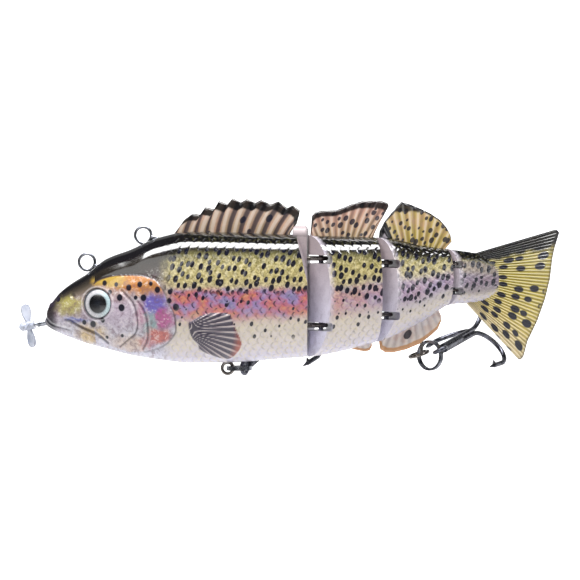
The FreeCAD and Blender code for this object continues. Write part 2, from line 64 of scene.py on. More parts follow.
# ---- the straight fish, in millimetres, as the CAD builds it -------------------
# each station: x, the back's z, the belly's z, half the width
STATIONS = np.array([
    (-10.4, -11.9, -15.9, 1.8), (-9.0, -10.2, -16.7, 3.2), (-6.8, -7.6, -17.8, 4.6),
    (-4.0, -5.4, -18.9, 5.7), (0.0, -2.9, -20.3, 7.0), (5.0, 0.9, -21.6, 8.3),
    (11.0, 3.2, -23.1, 9.5), (18.0, 6.2, -24.2, 10.2), (26.0, 7.7, -25.0, 10.5),
    (36.0, 7.6, -24.9, 10.5), (47.0, 7.2, -24.0, 10.1), (58.0, 6.8, -23.0, 9.2),
    (66.5, 6.5, -21.3, 8.1), (75.0, 6.2, -18.9, 6.8), (84.0, 4.3, -14.9, 5.2),
    (92.5, 3.1, -10.4, 3.5), (98.5, 2.2, -10.2, 2.3), (104.5, 0.0, -8.5, 0.8)])
# the body is widest this share of its height below the back, and its sections are this full
WIDEST = 0.52
FULLNESS = 0.86
HINGE_X = [58.9, 75.2, 92.6]
NOSE_RADIUS = [3.2, 2.5, 1.7]
BEVEL = [60.0, 58.0, 55.0]
SWING = [22.0, 22.0, 18.0]
GAP = 0.4
REST_BEND = [12.0, 9.0, 4.0]
PIN_RADIUS = [0.6, 0.6, 0.45]
LOOP_WIRE = [1.1, 1.0, 0.8]
LOOP_HEIGHTS = [(1.1, -15.5), (0.0, -12.9), (-0.4, -7.0)]
SLOT_PLAY = 0.35
# lengths that only need to reach past the body
ACROSS = 30.0
BEYOND = 160.0
EYE = (4.0, -10.1)
EYE_RADIUS = 3.6
SCALE_LENGTH = 2.25
SCALE_ROWS = 21.0
SCALE_BOW = 0.9
LACQUER_GLOSS = 0.15


def pchip(x, xs, ys):
    """Monotone cubic through the stations: it never swings past them."""
    step = np.diff(xs)
    slope = np.diff(ys) / step
    grade = np.zeros(len(xs))
    for i in range(1, len(xs) - 1):
        if slope[i - 1] * slope[i] > 0:
            a = 2 * step[i] + step[i - 1]
            b = step[i] + 2 * step[i - 1]
            grade[i] = (a + b) / (a / slope[i - 1] + b / slope[i])
    grade[0], grade[-1] = slope[0], slope[-1]
    x = np.clip(x, xs[0], xs[-1])
    k = np.clip(np.searchsorted(xs, x) - 1, 0, len(xs) - 2)
    t = (x - xs[k]) / step[k]
    return (ys[k] * (2 * t**3 - 3 * t**2 + 1) + ys[k + 1] * (3 * t**2 - 2 * t**3)
            + step[k] * (grade[k] * (t**3 - 2 * t**2 + t) + grade[k + 1] * (t**3 - t**2)))


def profile(x):
    x = np.asarray(x, float)
    return [pchip(x, STATIONS[:, 0], STATIONS[:, i]) for i in (1, 2, 3)]


def half_width(x, z):
    """Half the body's width at a place in the side view."""
    top, bottom, half = profile(x)
    middle = top - WIDEST * (top - bottom)
    reach = np.where(z > middle, top - middle, middle - bottom)
    lift = np.clip((z - middle) / reach, -1.0, 1.0)
    return half * (1.0 - lift**2) ** (FULLNESS / 2)


def smooth(value, low, high):
    t = np.clip((value - low) / (high - low), 0.0, 1.0)
    return t * t * (3 - 2 * t)


def line_distance(x, z, points):
    """Distance in the side view from every (x, z) to an open line."""
    best = np.full(np.shape(x), 1e9)
    for (ax, az), (bx, bz) in zip(points, points[1:]):
        dx, dz = bx - ax, bz - az
        t = np.clip(((x - ax) * dx + (z - az) * dz) / (dx * dx + dz * dz), 0, 1)
        best = np.minimum(best, np.hypot(x - ax - t * dx, z - az - t * dz))
    return best


def inside(x, z, points):
    """Whether every (x, z) is inside a closed outline."""
    result = np.zeros(np.shape(x), bool)
    for (ax, az), (bx, bz) in zip(points, points[1:] + points[:1]):
        with np.errstate(divide="ignore", invalid="ignore"):
            crossing = (bx - ax) * (z - az) / (bz - az) + ax
        result ^= ((az > z) != (bz > z)) & (x < crossing)
    return result


def smooth_line(points, count=8):
    """More points along a drawn line, rounded through its corners."""
    points = np.array(points, float)
    padded = np.vstack([2 * points[0] - points[1], points, 2 * points[-1] - points[-2]])
    out = []
    for a, b, c, d in zip(padded, padded[1:], padded[2:], padded[3:]):
        for t in np.arange(count) / count:
            out.append(0.5 * (2 * b + (c - a) * t + (2 * a - 5 * b + 4 * c - d) * t**2
                              + (3 * b - a - 3 * c + d) * t**3))
    out.append(points[-1])
    return [tuple(p) for p in out]


# ---- face drawing: lines in the side view ------------------------------------
GILL_EDGE = smooth_line([
    (2.9, -5.2), (4.2, -4.3), (6.7, -3.5), (9.3, -3.1), (14.4, -3.0), (17.0, -3.5), (19.0, -4.3),
    (21.1, -7.0), (22.1, -9.5), (23.4, -12.0), (23.9, -14.5), (23.8, -17.0), (22.4, -19.0),
    (20.5, -20.5), (17.9, -21.6), (15.5, -22.2)], 5)
GILL_PLATE = GILL_EDGE + [(11.0, -22.2), (6.5, -20.6), (4.0, -17.5), (1.0, -14.0), (0.5, -8.0)]
CHEEK_LINE = smooth_line([
    (10.4, -6.8), (12.0, -8.3), (13.3, -9.8), (14.1, -12.0), (14.4, -14.5), (14.1, -16.5),
    (13.3, -17.8), (12.0, -18.8), (9.4, -20.8)], 4)
COVER_LINE = smooth_line([
    (14.6, -9.5), (15.9, -11.3), (16.7, -13.8), (16.9, -16.5), (16.6, -19.0), (15.2, -21.5)], 4)
MOUTH_LINE = smooth_line([
    (-4.4, -14.3), (-2.8, -14.8), (-0.3, -16.1), (2.9, -17.4), (4.9, -18.8), (6.2, -20.0)], 4)
LIP_LINE = smooth_line([
    (-9.8, -11.0), (-10.3, -12.6), (-10.1, -14.0), (-9.2, -15.1), (-8.0, -15.8), (-6.6, -16.2),
    (-3.6, -16.9)], 4)


def head_relief(x, z):
    """How far the head's skin stands out, in millimetres, from the smooth body."""
    edge = line_distance(x, z, GILL_EDGE)
    plate = inside(x, z, GILL_PLATE)
    rise = 0.42 * smooth(x, 3.0, 12.0)
    out = np.where(plate, rise * smooth(edge, -0.1, 0.35), -0.10 * np.exp(-(edge / 0.5) ** 2))
    out = out - 0.26 * np.exp(-(line_distance(x, z, CHEEK_LINE) / 0.32) ** 2)
    out = out - 0.20 * np.exp(-(line_distance(x, z, COVER_LINE) / 0.30) ** 2)
    out = out - 0.42 * np.exp(-(line_distance(x, z, MOUTH_LINE) / 0.34) ** 2)
    lip = line_distance(x, z, LIP_LINE)
    out = out - 0.30 * np.exp(-(lip / 0.35) ** 2)
    out = out + 0.15 * np.exp(-((lip - 0.7) / 0.5) ** 2) * (x < -5)
    eye = np.hypot(x - EYE[0], z - EYE[1])
    out = out + 0.20 * np.exp(-((eye - EYE_RADIUS - 0.45) / 0.32) ** 2)
    out = out - 0.9 * (1 - smooth(eye, EYE_RADIUS - 0.25, EYE_RADIUS + 0.12))
    nostril = np.hypot((x + 2.6) / 0.55, (z + 8.3) / 0.38)
    out = out - 0.35 * np.exp(-nostril**2) + 0.08 * np.exp(-((nostril - 1.6) / 0.5) ** 2)
    rays = np.sin((x * 0.55 + z) * 4.2) * smooth(x, 16.0, 19.0) * plate
    return out + 0.035 * rays * smooth(edge, 0.5, 1.5)


def scale_relief(x, f):
    """Rows of overlapping scales, largest along the back."""
    row = f * SCALE_ROWS
    lane = np.floor(row)
    shift = (x / SCALE_LENGTH + 0.5 * (lane % 2)) % 1.0
    across = row - lane - 0.5
    arc = (shift - SCALE_BOW * across**2) % 1.0
    edge = np.minimum(arc, 1 - arc)
    groove = np.exp(-(edge / 0.10) ** 2)
    return (0.08 * edge - 0.09 * groove) * (0.45 + 0.55 * smooth(f, 0.12, 0.24))


def to_rest(points, segment):
    """Swings points of a straight segment about its hinges into the resting pose."""
    points = np.array(points, float)
    for joint in range(segment - 1, -1, -1):
        turn = math.radians(REST_BEND[joint])
        dx = points[:, 0] - HINGE_X[joint]
        dy = points[:, 1].copy()
        points[:, 0] = HINGE_X[joint] + dx * math.cos(turn) - dy * math.sin(turn)
        points[:, 1] = dx * math.sin(turn) + dy * math.cos(turn)
    return points


# ---- mesh plumbing -------------------------------------------------------------
def mesh_object(name, verts, faces):
    mesh = bpy.data.meshes.new(name)
    mesh.from_pydata([tuple(map(float, v)) for v in verts], [], [tuple(map(int, f)) for f in faces])
    mesh.validate()
    made = bpy.data.objects.new(name, mesh)
    bpy.context.scene.collection.objects.link(made)
    return made


def read(items, field, width=3, kind=float):
    """One field of every vertex or face, a row for each."""
    flat = np.empty(len(items) * width, kind)
    items.foreach_get(field, flat)
    return flat.reshape(-1, width)


def set_coordinates(mesh, points):
    mesh.vertices.foreach_set("co", np.ascontiguousarray(points, float).ravel())
    mesh.update()


def write_attribute(mesh, name, values):
    values = np.asarray(values, np.float32)
    if values.ndim == 2:
        layer = mesh.attributes.new(name, "FLOAT_VECTOR", "POINT")
        layer.data.foreach_set("vector", values.ravel())
    else:
        layer = mesh.attributes.new(name, "FLOAT", "POINT")
        layer.data.foreach_set("value", values.ravel())


@contextlib.contextmanager
def edited(made):
    """The object's mesh opened for editing, and written back at the end."""
    bm = bmesh.new()
    bm.from_mesh(made.data)
    yield bm
    bm.to_mesh(made.data)
    bm.free()


def remove(made):
    """Deletes a working object with its mesh."""
    mesh = made.data
    bpy.data.objects.remove(made)
    bpy.data.meshes.remove(mesh)


def outward(made):
    """Consistent outward faces."""
    with edited(made) as bm:
        bmesh.ops.recalc_face_normals(bm, faces=bm.faces)


def shade(made, angle):
    """Smooth shading that stays crisp over edges sharper than the angle."""
    limit = math.radians(angle)
    with edited(made) as bm:
        for edge in bm.edges:
            sharp = len(edge.link_faces) == 2 and edge.calc_face_angle(0.0) > limit
            edge.smooth = not sharp
        for face in bm.faces:
            face.smooth = True


def keep_side(bm, side):
    """Cuts the mesh on the middle plane and keeps the half on the given side."""
    everything = bm.verts[:] + bm.edges[:] + bm.faces[:]
    bmesh.ops.bisect_plane(bm, geom=everything, plane_co=(0, 0, 0), plane_no=(0, -side, 0),
                           clear_outer=True, dist=1e-5)
    return [edge for edge in bm.edges if edge.is_boundary]


def finish_piece(made, segment, label, materials, angle=35.0):
    """Stores the straight coordinates, poses the mesh, and hands the piece to the frame."""
    outward(made)
    shade(made, angle)
    points = read(made.data.vertices, "co")
    write_attribute(made.data, "straight", points)
    set_coordinates(made.data, to_rest(points, segment) * MM)
    for material in materials:
        made.data.materials.append(material)
    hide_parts("%s_shell_%s" % (BODIES[segment], label))
    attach(made, BODIES[segment])


def boolean(made, cutter, operation):
    """Cuts the mesh with another one, which is used up."""
    modifier = made.modifiers.new("cut", "BOOLEAN")
    modifier.operation = operation
    modifier.solver = "EXACT"
    modifier.object = cutter
    graph = bpy.context.evaluated_depsgraph_get()
    graph.update()
    old = made.data
    made.data = bpy.data.meshes.new_from_object(made.evaluated_get(graph))
    made.modifiers.clear()
    bpy.data.meshes.remove(old)
    remove(cutter)


def prism(name, outline, low, high, axis=2):
    """A closed prism over an outline, along one axis."""
    count = len(outline)
    verts = []
    for level in (low, high):
        for a, b in outline:
            point = [a, b]
            point.insert(axis, level)
            verts.append(point)
    faces = [list(range(count)), list(range(2 * count - 1, count - 1, -1))]
    faces += [[i, (i + 1) % count, count + (i + 1) % count, count + i] for i in range(count)]
    made = mesh_object(name, verts, faces)
    outward(made)
    return made


def wedge(joint, extra_radius, extra_angle):
    """The same rounded wedge as the CAD's, pointing forwards round a hinge pin."""
    x = HINGE_X[joint]
    radius = NOSE_RADIUS[joint] + extra_radius
    angle = math.radians(BEVEL[joint] + extra_angle)
    steps = 24
    outline = []
    for step in range(steps + 1):
        sweep = angle + (math.pi - 2 * angle) * step / steps
        outline.append((x - radius * math.sin(sweep), -radius * math.cos(sweep)))
    run = 40.0 / math.sin(angle)
    corner = (outline[0][0] + run * math.cos(angle), outline[0][1] - run * math.sin(angle))
    outline = [(BEYOND, corner[1]), corner] + outline
    outline += [(corner[0], -corner[1]), (BEYOND, -corner[1])]
    return prism("wedge", outline, -2 * ACROSS, 2 * ACROSS)


def slot_cutter(joint, height):
    """The slot in a nose that a wire loop passes through, with rounded inner corners."""
    wire = LOOP_WIRE[joint] / 2
    end = HINGE_X[joint] + PIN_RADIUS[joint] + 0.05 + 2 * wire + SLOT_PLAY
    low = height - wire - 2 * SLOT_PLAY
    high = low + 2 * wire + 3 * SLOT_PLAY
    start = HINGE_X[joint] - NOSE_RADIUS[joint] - 5.0
    r = 0.55
    outline = [(start, low), (end - r, low), (end - 0.3 * r, low + 0.3 * r), (end, low + r),
               (end, high - r), (end - 0.3 * r, high - 0.3 * r), (end - r, high), (start, high)]
    return prism("slot", outline, -ACROSS, ACROSS, axis=1)


def skin_block(name, x0, x1, along, around, relief):
    """A dense closed skin over part of the straight body."""
    snout = x0 <= STATIONS[0, 0]
    xs = x0 + (x1 - x0) * np.linspace(0, 1, along) ** (1.25 if snout else 1.0)
    angle = np.linspace(0, 2 * math.pi, around, endpoint=False)
    grid_x, grid_a = np.meshgrid(xs, angle, indexing="ij")
    full_top, full_bottom, half = profile(grid_x)
    top, bottom = full_top, full_bottom
    if snout:
        # the snout closes in a rounded lip ahead of the first station
        close = np.sqrt(np.clip((grid_x - x0) / 1.1, 0.0, 1.0))
        close = np.sqrt(1 - (1 - close) ** 2)
        centre = 0.5 * (top + bottom)
        top, bottom = centre + (top - centre) * close, centre + (bottom - centre) * close
        half = half * close
    middle = top - WIDEST * (top - bottom)
    side, lift = np.sin(grid_a), np.cos(grid_a)
    reach = np.where(lift > 0, top - middle, middle - bottom)
    y = np.sign(side) * half * np.abs(side) ** FULLNESS
    z = middle + reach * lift
    skin = np.stack([grid_x, y, z], axis=-1)
    f = (full_top - z) / (full_top - full_bottom)
    normal = np.cross(np.roll(skin, -1, axis=1) - np.roll(skin, 1, axis=1),
                      np.gradient(skin, axis=0))
    length = np.linalg.norm(normal, axis=-1, keepdims=True)
    normal = np.where(length > 1e-9, normal / np.maximum(length, 1e-9), 0.0)
    facing = np.sum(normal * np.stack([0 * y, y, z - middle], axis=-1), axis=-1, keepdims=True)
    normal = np.where(facing < 0, -normal, normal)
    skin = skin + normal * relief(grid_x, z, f)[..., None]
    verts = skin.reshape(-1, 3).tolist()
    faces = []
    for i in range(along - 1):
        for j in range(around):
            k = (j + 1) % around
            faces.append([i * around + j, i * around + k, (i + 1) * around + k,
                          (i + 1) * around + j])
    for row in (0, along - 1):
        verts.append(skin[row].mean(axis=0).tolist())
        pole = len(verts) - 1
        faces += [[row * around + j, row * around + (j + 1) % around, pole]
                  for j in range(around)]
    made = mesh_object(name, verts, faces)
    outward(made)
    return made


# the print: spots and blots as (centre, size) in the side view, bands by depth below the back, the
# body's bottom band partly painted shade
HEAD_SPOTS = [
    ((5.8, -5.0), 0.6), ((7.3, -7.2), 0.55), ((9.9, -8.5), 0.75), ((10.4, -11.0), 0.8),
    ((12.2, -6.0), 0.7), ((15.0, -5.2), 0.65), ((14.0, -8.5), 0.5), ((16.0, -8.5), 0.75),
    ((19.5, -6.5), 0.7), ((0.5, -14.8), 0.55), ((2.8, -15.2), 0.75), ((5.4, -14.2), 0.55),
    ((6.2, -18.5), 0.4), ((10.3, -18.0), 0.4), ((22.6, -7.0), 0.6), ((22.4, -9.2), 0.6),
    ((24.1, -10.8), 0.8), ((-6.6, -9.2), 0.6), ((8.9, -5.3), 0.5), ((17.8, -5.0), 0.5)]
HEAD_BLOTS = [
    ((13.5, -4.8), (8.5, 2.4), "#c07a26", 0.95), ((7.0, -4.4), (4.0, 1.8), "#b79b45", 0.85),
    ((19.0, -6.3), (3.6, 2.2), "#a9733c", 0.7), ((19.0, -10.2), (3.3, 2.6), "#5b52ad", 0.9),
    ((20.8, -13.4), (2.4, 2.6), "#b03f86", 0.9), ((17.4, -14.8), (1.7, 2.6), "#6d9a98", 0.7),
    ((15.2, -12.5), (1.6, 3.2), "#b8708e", 0.6), ((16.0, -20.0), (2.4, 1.4), "#a8486e", 0.7),
    ((19.6, -18.0), (2.8, 1.9), "#bd4a33", 0.85), ((12.0, -20.0), (4.5, 2.0), "#c7a06a", 0.5),
    ((-3.5, -10.8), (3.6, 2.2), "#a9a24a", 0.75), ((2.4, -17.9), (4.2, 2.3), "#c9a53f", 0.7),
    ((9.5, -12.5), (3.6, 4.4), "#c3b4c6", 0.6), ((-2.0, -14.2), (3.2, 0.75), "#4b63b0", 0.8),
    ((8.6, -8.0), (3.4, 2.0), "#a48a86", 0.55)]
HEAD_BANDS = [
    (0.0, "#0b0b0f"), (0.10, "#141316"), (0.18, "#3c362f"), (0.27, "#6c6055"),
    (0.36, "#a49590"), (0.60, "#b8abb8"), (0.80, "#c9c6d0"), (1.0, "#c9c7da")]
# the last stop, at the very bottom of the belly, is darker lavender: partly the belly's own colour,
# partly painted shade under it
BODY_BANDS = [
    (0.0, "#050507"), (0.10, "#08080b"), (0.135, "#2f2c22"), (0.17, "#6b6641"),
    (0.24, "#8d8352"), (0.36, "#a39666"), (0.44, "#a99a82"), (0.55, "#b8969c"),
    (0.66, "#c9b0ab"), (0.72, "#d6cabf"), (0.84, "#d8cecb"), (1.0, "#c6c2da")]
STRIPE_PATCHES = [
    (0.30, "#565f9e"), (0.42, "#8168a8"), (0.49, "#a04c82"), (0.56, "#ad3f5c"),
    (0.63, "#bd5a3c"), (0.74, "#b98c68")]
PAD_TINTS = [(0.0, "#d8cbc2"), (0.22, "#a1949a"), (0.45, "#4a4252"), (1.0, "#372f3f")]
TAIL_TINTS = [
    (0.0, "#8f8342"), (0.3, "#aa9a45"), (0.6, "#b9a64c"), (0.85, "#c4ae62"), (1.0, "#cdb98c")]


# ---- shader helpers --------------------------------------------------------------
class Paint:
    """A node material written as sums and mixes."""

    def __init__(self, name):
        self.material = bpy.data.materials.new(name)
        self.material.use_nodes = True
        self.tree = self.material.node_tree
        self.bsdf = next(n for n in self.tree.nodes if n.type == "BSDF_PRINCIPLED")

    def put(self, socket, value):
        if isinstance(value, bpy.types.NodeSocket):
            self.tree.links.new(value, socket)
        elif isinstance(value, str):
            socket.default_value = rgb(value)
        else:
            socket.default_value = value

    def node(self, kind, **settings):
        made = self.tree.nodes.new(kind)
        for key, value in settings.items():
            setattr(made, key, value)
        return made

    def math(self, operation, a, b=0.0, c=0.0, clamp=False):
        made = self.node("ShaderNodeMath", operation=operation, use_clamp=clamp)
        for socket, value in zip(made.inputs, (a, b, c)):
            self.put(socket, value)
        return made.outputs[0]

    def times(self, first, *rest):
        for factor in rest:
            first = self.math("MULTIPLY", first, factor)
        return first

    def plus(self, a, b):
        return self.math("ADD", a, b)

    def minus(self, a, b):
        return self.math("SUBTRACT", a, b)

    def attribute(self, name, vector=False):
        made = self.node("ShaderNodeAttribute", attribute_name=name)
        return made.outputs["Vector" if vector else "Fac"]

    def split(self, vector):
        made = self.node("ShaderNodeSeparateXYZ")
        self.put(made.inputs[0], vector)
        return made.outputs

    def join(self, x, y, z=0.0):
        made = self.node("ShaderNodeCombineXYZ")
        for socket, value in zip(made.inputs, (x, y, z)):
            self.put(socket, value)
        return made.outputs[0]

    def smooth(self, value, low, high, start=0.0, end=1.0):
        made = self.node("ShaderNodeMapRange", interpolation_type="SMOOTHSTEP")
        for socket, given in zip(made.inputs, (value, low, high, start, end)):
            self.put(socket, given)
        return made.outputs[0]

    def mix(self, amount, a, b):
        made = self.node("ShaderNodeMix", data_type="RGBA")
        # a colour mix has its factor at 0, its two colours at 6 and 7, its result at 2
        self.put(made.inputs[0], amount)
        self.put(made.inputs[6], a)
        self.put(made.inputs[7], b)
        return made.outputs[2]

    def noise(self, vector, scale, detail=3.0, rough=0.55, distortion=0.0):
        made = self.node("ShaderNodeTexNoise")
        self.put(made.inputs["Vector"], vector)
        made.inputs["Scale"].default_value = scale
        made.inputs["Detail"].default_value = detail
        made.inputs["Roughness"].default_value = rough
        made.inputs["Distortion"].default_value = distortion
        return made.outputs["Fac"]

    def cells(self, vector, scale, jitter=1.0, flat=False):
        made = self.node("ShaderNodeTexVoronoi", feature="F1",
                         voronoi_dimensions="2D" if flat else "3D")
        self.put(made.inputs["Vector"], vector)
        made.inputs["Scale"].default_value = scale
        made.inputs["Randomness"].default_value = jitter
        return made.outputs["Distance"], self.split(made.outputs["Color"])

    def ramp(self, value, stops):
        made = self.node("ShaderNodeValToRGB")
        marks = made.color_ramp.elements
        while len(marks) < len(stops):
            marks.new(0.5)
        for mark, (place, _) in zip(marks, stops):
            mark.position = place
        for mark, (_, colour) in zip(marks, stops):
            mark.color = rgb(colour)
        self.put(made.inputs[0], value)
        return made.outputs[0]

    def bump(self, height, distance, strength=1.0):
        made = self.node("ShaderNodeBump")
        made.inputs["Distance"].default_value = distance * MM
        made.inputs["Strength"].default_value = strength
        self.put(made.inputs["Height"], height)
        before = self.bsdf.inputs["Normal"]
        if before.is_linked:
            self.tree.links.new(before.links[0].from_socket, made.inputs["Normal"])
        self.tree.links.new(made.outputs[0], before)

    def surface(self, **inputs):
        names = {"colour": "Base Color", "rough": "Roughness", "metal": "Metallic",
                 "coat": "Coat Weight", "coat_rough": "Coat Roughness", "ior": "IOR",
                 "through": "Transmission Weight", "alpha": "Alpha",
                 "gloss": "Specular IOR Level", "glow": "Emission Strength",
                 "glow_colour": "Emission Color"}
        for key, value in inputs.items():
            self.put(self.bsdf.inputs[names[key]], value)
        return self.material

    def blob(self, x, z, centre, size, soft=0.6):
        """1 inside an oval patch of the side view, fading out past its rim."""
        dx = self.math("DIVIDE", self.math("SUBTRACT", x, centre[0]), size[0])
        dz = self.math("DIVIDE", self.math("SUBTRACT", z, centre[1]), size[1])
        reach = self.math("SQRT", self.math("ADD", self.math("MULTIPLY", dx, dx),
                                            self.math("MULTIPLY", dz, dz)))
        return self.smooth(reach, 1.0 + soft, 1.0 - soft)


def rgb(code):
    if not isinstance(code, str):
        return code
    values = [int(code[i:i + 2], 16) / 255 for i in (1, 3, 5)]
    linear = [v / 12.92 if v <= 0.04045 else ((v + 0.055) / 1.055) ** 2.4 for v in values]
    return (*linear, 1.0)


class Place:
    """Where a shaded point lies on the straight fish, as values of the shader."""

    def __init__(self, p, side_shift):
        self.straight = p.attribute("straight", True)
        self.x, y, self.z = p.split(self.straight)
        self.side = p.times(p.math("SIGN", y), side_shift)
        self.flat = p.join(self.x, self.z, self.side)


class SkinPlace(Place):
    """A place on the mouldings, with the weights that separate the head from the body."""

    def __init__(self, p):
        super().__init__(p, 7.3)
        self.band = p.attribute("band")
        self.gill = p.attribute("gill")
        self.drawn = p.attribute("drawn")
        drift = p.times(p.minus(p.noise(self.flat, 0.22, 3.0), 0.5), 0.07)
        self.height = p.plus(self.band, drift)
        head = p.math("MAXIMUM", p.smooth(self.x, 23.5, 19.0), p.smooth(self.gill, -0.15, 0.15))
        self.head = p.times(head, p.smooth(self.x, 27.0, 24.0))
        self.body = p.minus(1.0, self.head)


def spots(p, at, scale, stretch, turn, low, high, keep, jitter=0.8, offset=0.0):
    """Oval ink spots: each has its own size, and some are left out."""
    angle = math.radians(turn)
    along = p.plus(p.times(at.x, math.cos(angle)), p.times(at.z, math.sin(angle)))
    across = p.minus(p.times(at.z, math.cos(angle)), p.times(at.x, math.sin(angle)))
    wobble = p.noise(at.flat, 0.9, 2.0)
    along = p.plus(p.times(along, 1.0 / stretch), p.times(wobble, 0.3))
    across = p.plus(across, p.times(at.side, 9.0))
    distance, tint = p.cells(p.join(along, p.plus(across, offset)), scale, jitter, flat=True)
    radius = p.plus(p.times(tint[0], high - low), low)
    mark = p.smooth(p.minus(distance, radius), 0.035, -0.035)
    return p.times(mark, p.smooth(tint[1], keep + 0.01, keep - 0.01))


def scale_net(p, at):
    """Overlapping scale rows: 0 in a scale, 1 on its dark rim."""
    row = p.times(at.band, SCALE_ROWS)
    lane = p.math("FLOOR", row)
    across = p.minus(p.minus(row, lane), 0.5)
    shift = p.plus(p.math("DIVIDE", at.x, SCALE_LENGTH),
                   p.times(p.math("PINGPONG", lane, 1.0), 0.5))
    arc = p.math("FRACT", p.minus(shift, p.times(across, across, SCALE_BOW)))
    return p.smooth(p.math("MINIMUM", arc, p.minus(1.0, arc)), 0.15, 0.03)


def stripe_weight(p, at):
    """How strongly the lateral stripe shows: most on the head segment, faint at the rear."""
    stripe = p.times(p.smooth(at.height, 0.40, 0.46), p.smooth(at.height, 0.69, 0.61))
    behind = p.plus(0.26, p.smooth(at.x, 62.0, 57.0, 0.0, 0.44))
    return p.times(stripe, p.smooth(at.x, 20.0, 25.0), behind)


def forehead_weight(p, at):
    """1 on the dark skin between the gill cover and the black of the back."""
    return p.times(p.smooth(at.gill, 0.05, -0.25), p.smooth(at.height, 0.42, 0.32),
                   p.smooth(at.height, 0.10, 0.17, 0.0, 0.85))


def body_colours(p, at, stripe):
    """Black back, olive flank, the stripe's violet to orange patches and a pale belly whose darker
    lavender at the bottom is partly its own colour and partly painted shade.
    """
    base = p.ramp(at.height, BODY_BANDS)
    fine = p.noise(at.flat, 1.6, 5.0, 0.75)
    pale = p.times(p.smooth(fine, 0.45, 0.65), p.smooth(at.height, 0.13, 0.22), 0.55)
    base = p.mix(pale, base, "#dccfa2")
    murk = p.times(p.smooth(fine, 0.50, 0.36), p.smooth(at.height, 0.60, 0.45), 0.55)
    base = p.mix(murk, base, "#4d4a2c")
    nape = p.times(p.smooth(at.x, 29.0, 22.0), p.smooth(at.height, 0.24, 0.14), 0.9)
    base = p.mix(nape, base, "#0d0c0e")
    patch = p.noise(p.join(p.times(at.x, 0.75), at.z, at.side), 0.30, 2.5, 0.6)
    base = p.mix(stripe, base, p.ramp(patch, STRIPE_PATCHES))
    blue = p.times(p.smooth(at.x, 62.0, 80.0), p.smooth(at.height, 0.30, 0.50),
                   p.smooth(at.height, 0.86, 0.66), 0.5)
    base = p.mix(blue, base, "#9f9bbd")
    stalk = p.times(p.smooth(at.x, 88.0, 97.0), p.smooth(at.height, 0.90, 0.75),
                    p.smooth(at.height, 0.14, 0.22), 0.65)
    return p.mix(stalk, base, "#7d7079")


def head_colours(p, at, forehead):
    """Forehead, cheek and jaw, with blots of colour over the gill cover."""
    face = p.ramp(at.height, HEAD_BANDS)
    face = p.mix(forehead, face, p.mix(p.noise(at.flat, 0.7, 4.0), "#0a0909", "#2c2621"))
    marble = p.noise(at.flat, 0.38, 3.0, 0.6)
    swirl = p.noise(p.join(at.z, at.x, at.side), 0.42, 3.0, 0.6)
    bent_x = p.plus(at.x, p.times(p.minus(marble, 0.5), 5.0))
    bent_z = p.plus(at.z, p.times(p.minus(swirl, 0.5), 4.0))
    within = p.smooth(at.gill, -0.1, 0.25)
    for centre, size, colour, amount in HEAD_BLOTS:
        blot = p.times(p.blob(bent_x, bent_z, centre, size, 0.5), amount, within)
        face = p.mix(blot, face, colour)
    mottle = p.noise(at.flat, 0.9, 5.0, 0.7, 0.6)
    low_face = p.smooth(at.height, 0.22, 0.34)
    face = p.mix(p.times(p.smooth(mottle, 0.46, 0.64), 0.60, low_face), face, "#6f5560")
    return p.mix(p.times(p.smooth(mottle, 0.46, 0.34), 0.45, low_face), face, "#f0e9e4")


def skin_ink(p, at):
    """Spots on the back and flank, small sparse ones lower down, and the head's own."""
    back = spots(p, at, 0.60, 1.55, 72.0, 0.25, 0.38, 0.97, jitter=0.62)
    limit = p.smooth(at.x, 55.0, 85.0, 0.46, 0.70)
    region = p.smooth(p.minus(at.height, limit), 0.03, -0.03)
    ink = p.times(back, region, at.body, p.smooth(at.height, 0.10, 0.13))
    small = spots(p, at, 0.55, 1.4, 72.0, 0.08, 0.26, 0.50, offset=31.0)
    lower = p.times(p.smooth(at.height, 0.43, 0.46), p.smooth(at.height, 0.86, 0.78), at.body)
    ink = p.math("MAXIMUM", ink, p.times(small, lower))
    for centre, size in HEAD_SPOTS:
        ink = p.math("MAXIMUM", ink, p.blob(at.x, at.z, centre, (size, size * 1.15), 0.22))
    return ink


def drawn_lines(p, at, base):
    """The print over the head's colours: drawn lines, dark snout tip and gill cover's rim, and a
    painted highlight beside the drawn lines.
    """
    line = p.times(p.smooth(at.drawn, 0.27, 0.09), p.smooth(at.x, 25.0, 24.0), 0.65)
    base = p.mix(line, base, "#2a2430")
    base = p.mix(p.times(p.smooth(at.x, -6.0, -8.4), 0.9), base, "#121017")
    nose = p.times(p.smooth(at.x, -5.0, -8.5), p.smooth(at.z, -12.2, -10.6), 0.75)
    base = p.mix(nose, base, "#3a3140")
    # painted highlight: a pale band just beside the head's drawn lines
    glint = p.times(p.smooth(at.drawn, 0.35, 0.5), p.smooth(at.drawn, 0.95, 0.6), at.head, 0.22)
    base = p.mix(glint, base, "#f5f0f4")
    rim = p.times(p.smooth(p.math("ABSOLUTE", at.gill), 0.32, 0.08),
                  p.smooth(at.z, -25.0, -21.0), 0.60)
    return p.mix(rim, base, "#2b2230")


def pad_colours(p):
    """Dark rays on the raised pectoral fin, and an orange rim away from its root."""
    tint = p.ramp(p.attribute("pad_ray"), PAD_TINTS)
    rim = p.times(p.smooth(p.attribute("pad_reach"), 12.6, 15.0), 0.75)
    return p.mix(rim, tint, "#b0573f")


def worn_colours(p, at, base):
    """Paint that fades over the edge on to the joint faces, and fine wear."""
    cloud = p.noise(at.flat, 1.2, 4.0, 0.7)
    bare = p.smooth(p.plus(p.attribute("edge"), p.times(cloud, 1.6)), 2.4, 0.5)
    base = p.mix(p.times(bare, 0.75), base, "#cfc7d2")
    wear = p.times(p.smooth(p.noise(at.flat, 3.4, 6.0, 0.8), 0.70, 0.80), 0.10)
    return p.mix(wear, base, "#f4f0ee")


